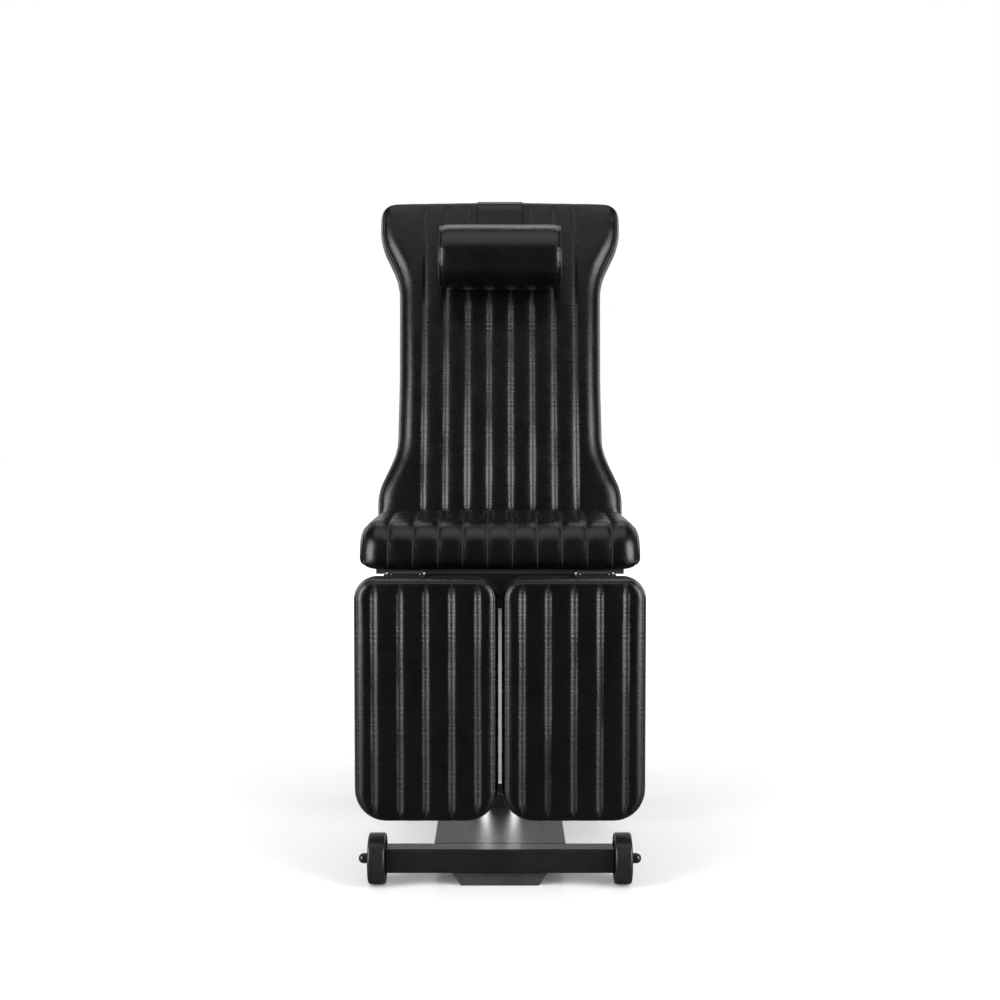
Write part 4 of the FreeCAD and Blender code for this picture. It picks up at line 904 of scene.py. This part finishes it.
def makeStrap():
    corners = ((strap["face"], strap["front"]), (strap["face"], strap["top"]),
               (strap["rearDepth"], strap["top"]), (strap["rearDepth"], strap["rear"]))
    line = roundedChain(corners, (strap["overRound"], strap["rearRound"]))[::strap["every"]]
    bm = bmesh.new()
    bmesh.ops.create_grid(bm, x_segments=strap["columns"], y_segments=len(line) - 1, size=0.5)
    for v in bm.verts:
        depth, s = line[round((v.co.y + 0.5) * (len(line) - 1))]
        v.co = (v.co.x * 2 * strap["half"], depth, s)
    piece = addPiece("headrest_strap_cover", bm, plainLeather, backPlace())
    wall = piece.modifiers.new("wall", "SOLIDIFY")
    wall.thickness, wall.offset = strap["thick"], 1.0
    smoothOver(piece)
    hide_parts("headrest_strap")
    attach(piece, "backrest")


makeBolster()
makePiping()
makeStrap()
print("headrest made")


# the studio

studio = {
    "floorColor": (0.84, 0.84, 0.85), "floorHaze": (0.86, 0.86, 0.86), "floorSize": 30,
    "floorInGloss": (0.07, 0.07, 0.07), "floorRoughness": 0.3,
    "liftNear": 0.05, "liftFar": 1.0, "liftFrom": 0.5, "liftTo": 4.5,
    "roomForGloss": 0.05, "backForGloss": 0.6, "glossRamp": (0.4, 0.9), "roomForDiffuse": 0.5,
    "boxes": {                  # place, size and watts
        "leftBox": ((-2.1, -1.65, 1.2), (1.5, 2.2), 92.0),
        "rightBox": ((2.1, -1.65, 1.2), (1.5, 2.2), 92.0),
        "topBox": ((0.0, -0.55, 2.75), (2.2, 1.5), 12.5),
        "rimBox": ((0.0, 1.1, 2.8), (1.8, 0.6), 7.0),
        "rearLeftBox": ((-1.9, 2.0, 1.4), (0.8, 1.8), 6.0),
        "rearRightBox": ((1.9, 2.0, 1.4), (0.8, 1.8), 6.0),
    },
    "aim": (0.0, 0.0, 0.75),
}


def makeFloor():
    # pale to the lights, lifted towards white for the camera and dim in reflections
    bm = bmesh.new()
    bmesh.ops.create_grid(bm, x_segments=2, y_segments=2, size=studio["floorSize"])
    finish, tree, shader = newFinish("studioFloor", studio["floorColor"],
                                     studio["floorRoughness"])
    haze = cloud(tree, where(tree), 0.8, 2.0)
    seen = tree.nodes.new("ShaderNodeLightPath")
    tone = shade(tree, haze, studio["floorColor"], studio["floorHaze"])
    both = put(tree, "ShaderNodeMix", {0: seen.outputs["Is Glossy Ray"], 6: tone,
                                       7: (*studio["floorInGloss"], 1)}, out=2, data_type="RGBA")
    tree.links.new(both, shader.inputs["Base Color"])
    away = put(tree, "ShaderNodeVectorMath", {0: where(tree)}, out="Value", operation="LENGTH")
    lift = spread(tree, away, studio["liftFrom"], studio["liftTo"], studio["liftNear"],
                  studio["liftFar"])
    shader.inputs["Emission Color"].default_value = (1, 1, 1, 1)
    tree.links.new(sums(tree, "MULTIPLY", seen.outputs["Is Camera Ray"], lift),
                   shader.inputs["Emission Strength"])
    floor = addPiece("studio_floor", bm, finish)


def makeWorld():
    # white to the camera; reflections see a dim room that is brighter behind the chair
    world = bpy.data.worlds.new("studioRoom")
    scene.world = world
    world.use_nodes = True
    tree = world.node_tree
    ground = tree.nodes["Background"]
    ground.inputs["Color"].default_value = (1, 1, 1, 1)
    way = put(tree, "ShaderNodeTexCoord", {}, out="Generated")
    turn = put(tree, "ShaderNodeSeparateXYZ", {"Vector": way}, out="Y")
    gloss = spread(tree, turn, *studio["glossRamp"], studio["roomForGloss"],
                   studio["backForGloss"])
    seen = tree.nodes.new("ShaderNodeLightPath")
    shiny = sums(tree, "MAXIMUM", seen.outputs["Is Glossy Ray"],
                 seen.outputs["Is Transmission Ray"])
    level = put(tree, "ShaderNodeMix", {0: shiny, 2: studio["roomForDiffuse"], 3: gloss})
    level = sums(tree, "MAXIMUM", level, seen.outputs["Is Camera Ray"])
    tree.links.new(level, ground.inputs["Strength"])


def makeLights():
    for name, (place, size, watts) in studio["boxes"].items():
        lamp = bpy.data.lights.new(name, "AREA")
        lamp.shape, lamp.size, lamp.size_y, lamp.energy = "RECTANGLE", *size, watts
        holder = bpy.data.objects.new(name, lamp)
        holder.location = place
        holder.visible_camera = False
        toward = Vector(studio["aim"]) - Vector(place)
        holder.rotation_euler = toward.to_track_quat("-Z", "Y").to_euler()
        scene.collection.objects.link(holder)


makeFloor()
makeWorld()
makeLights()
scene.view_settings.view_transform = "Standard"
print("studio lit")
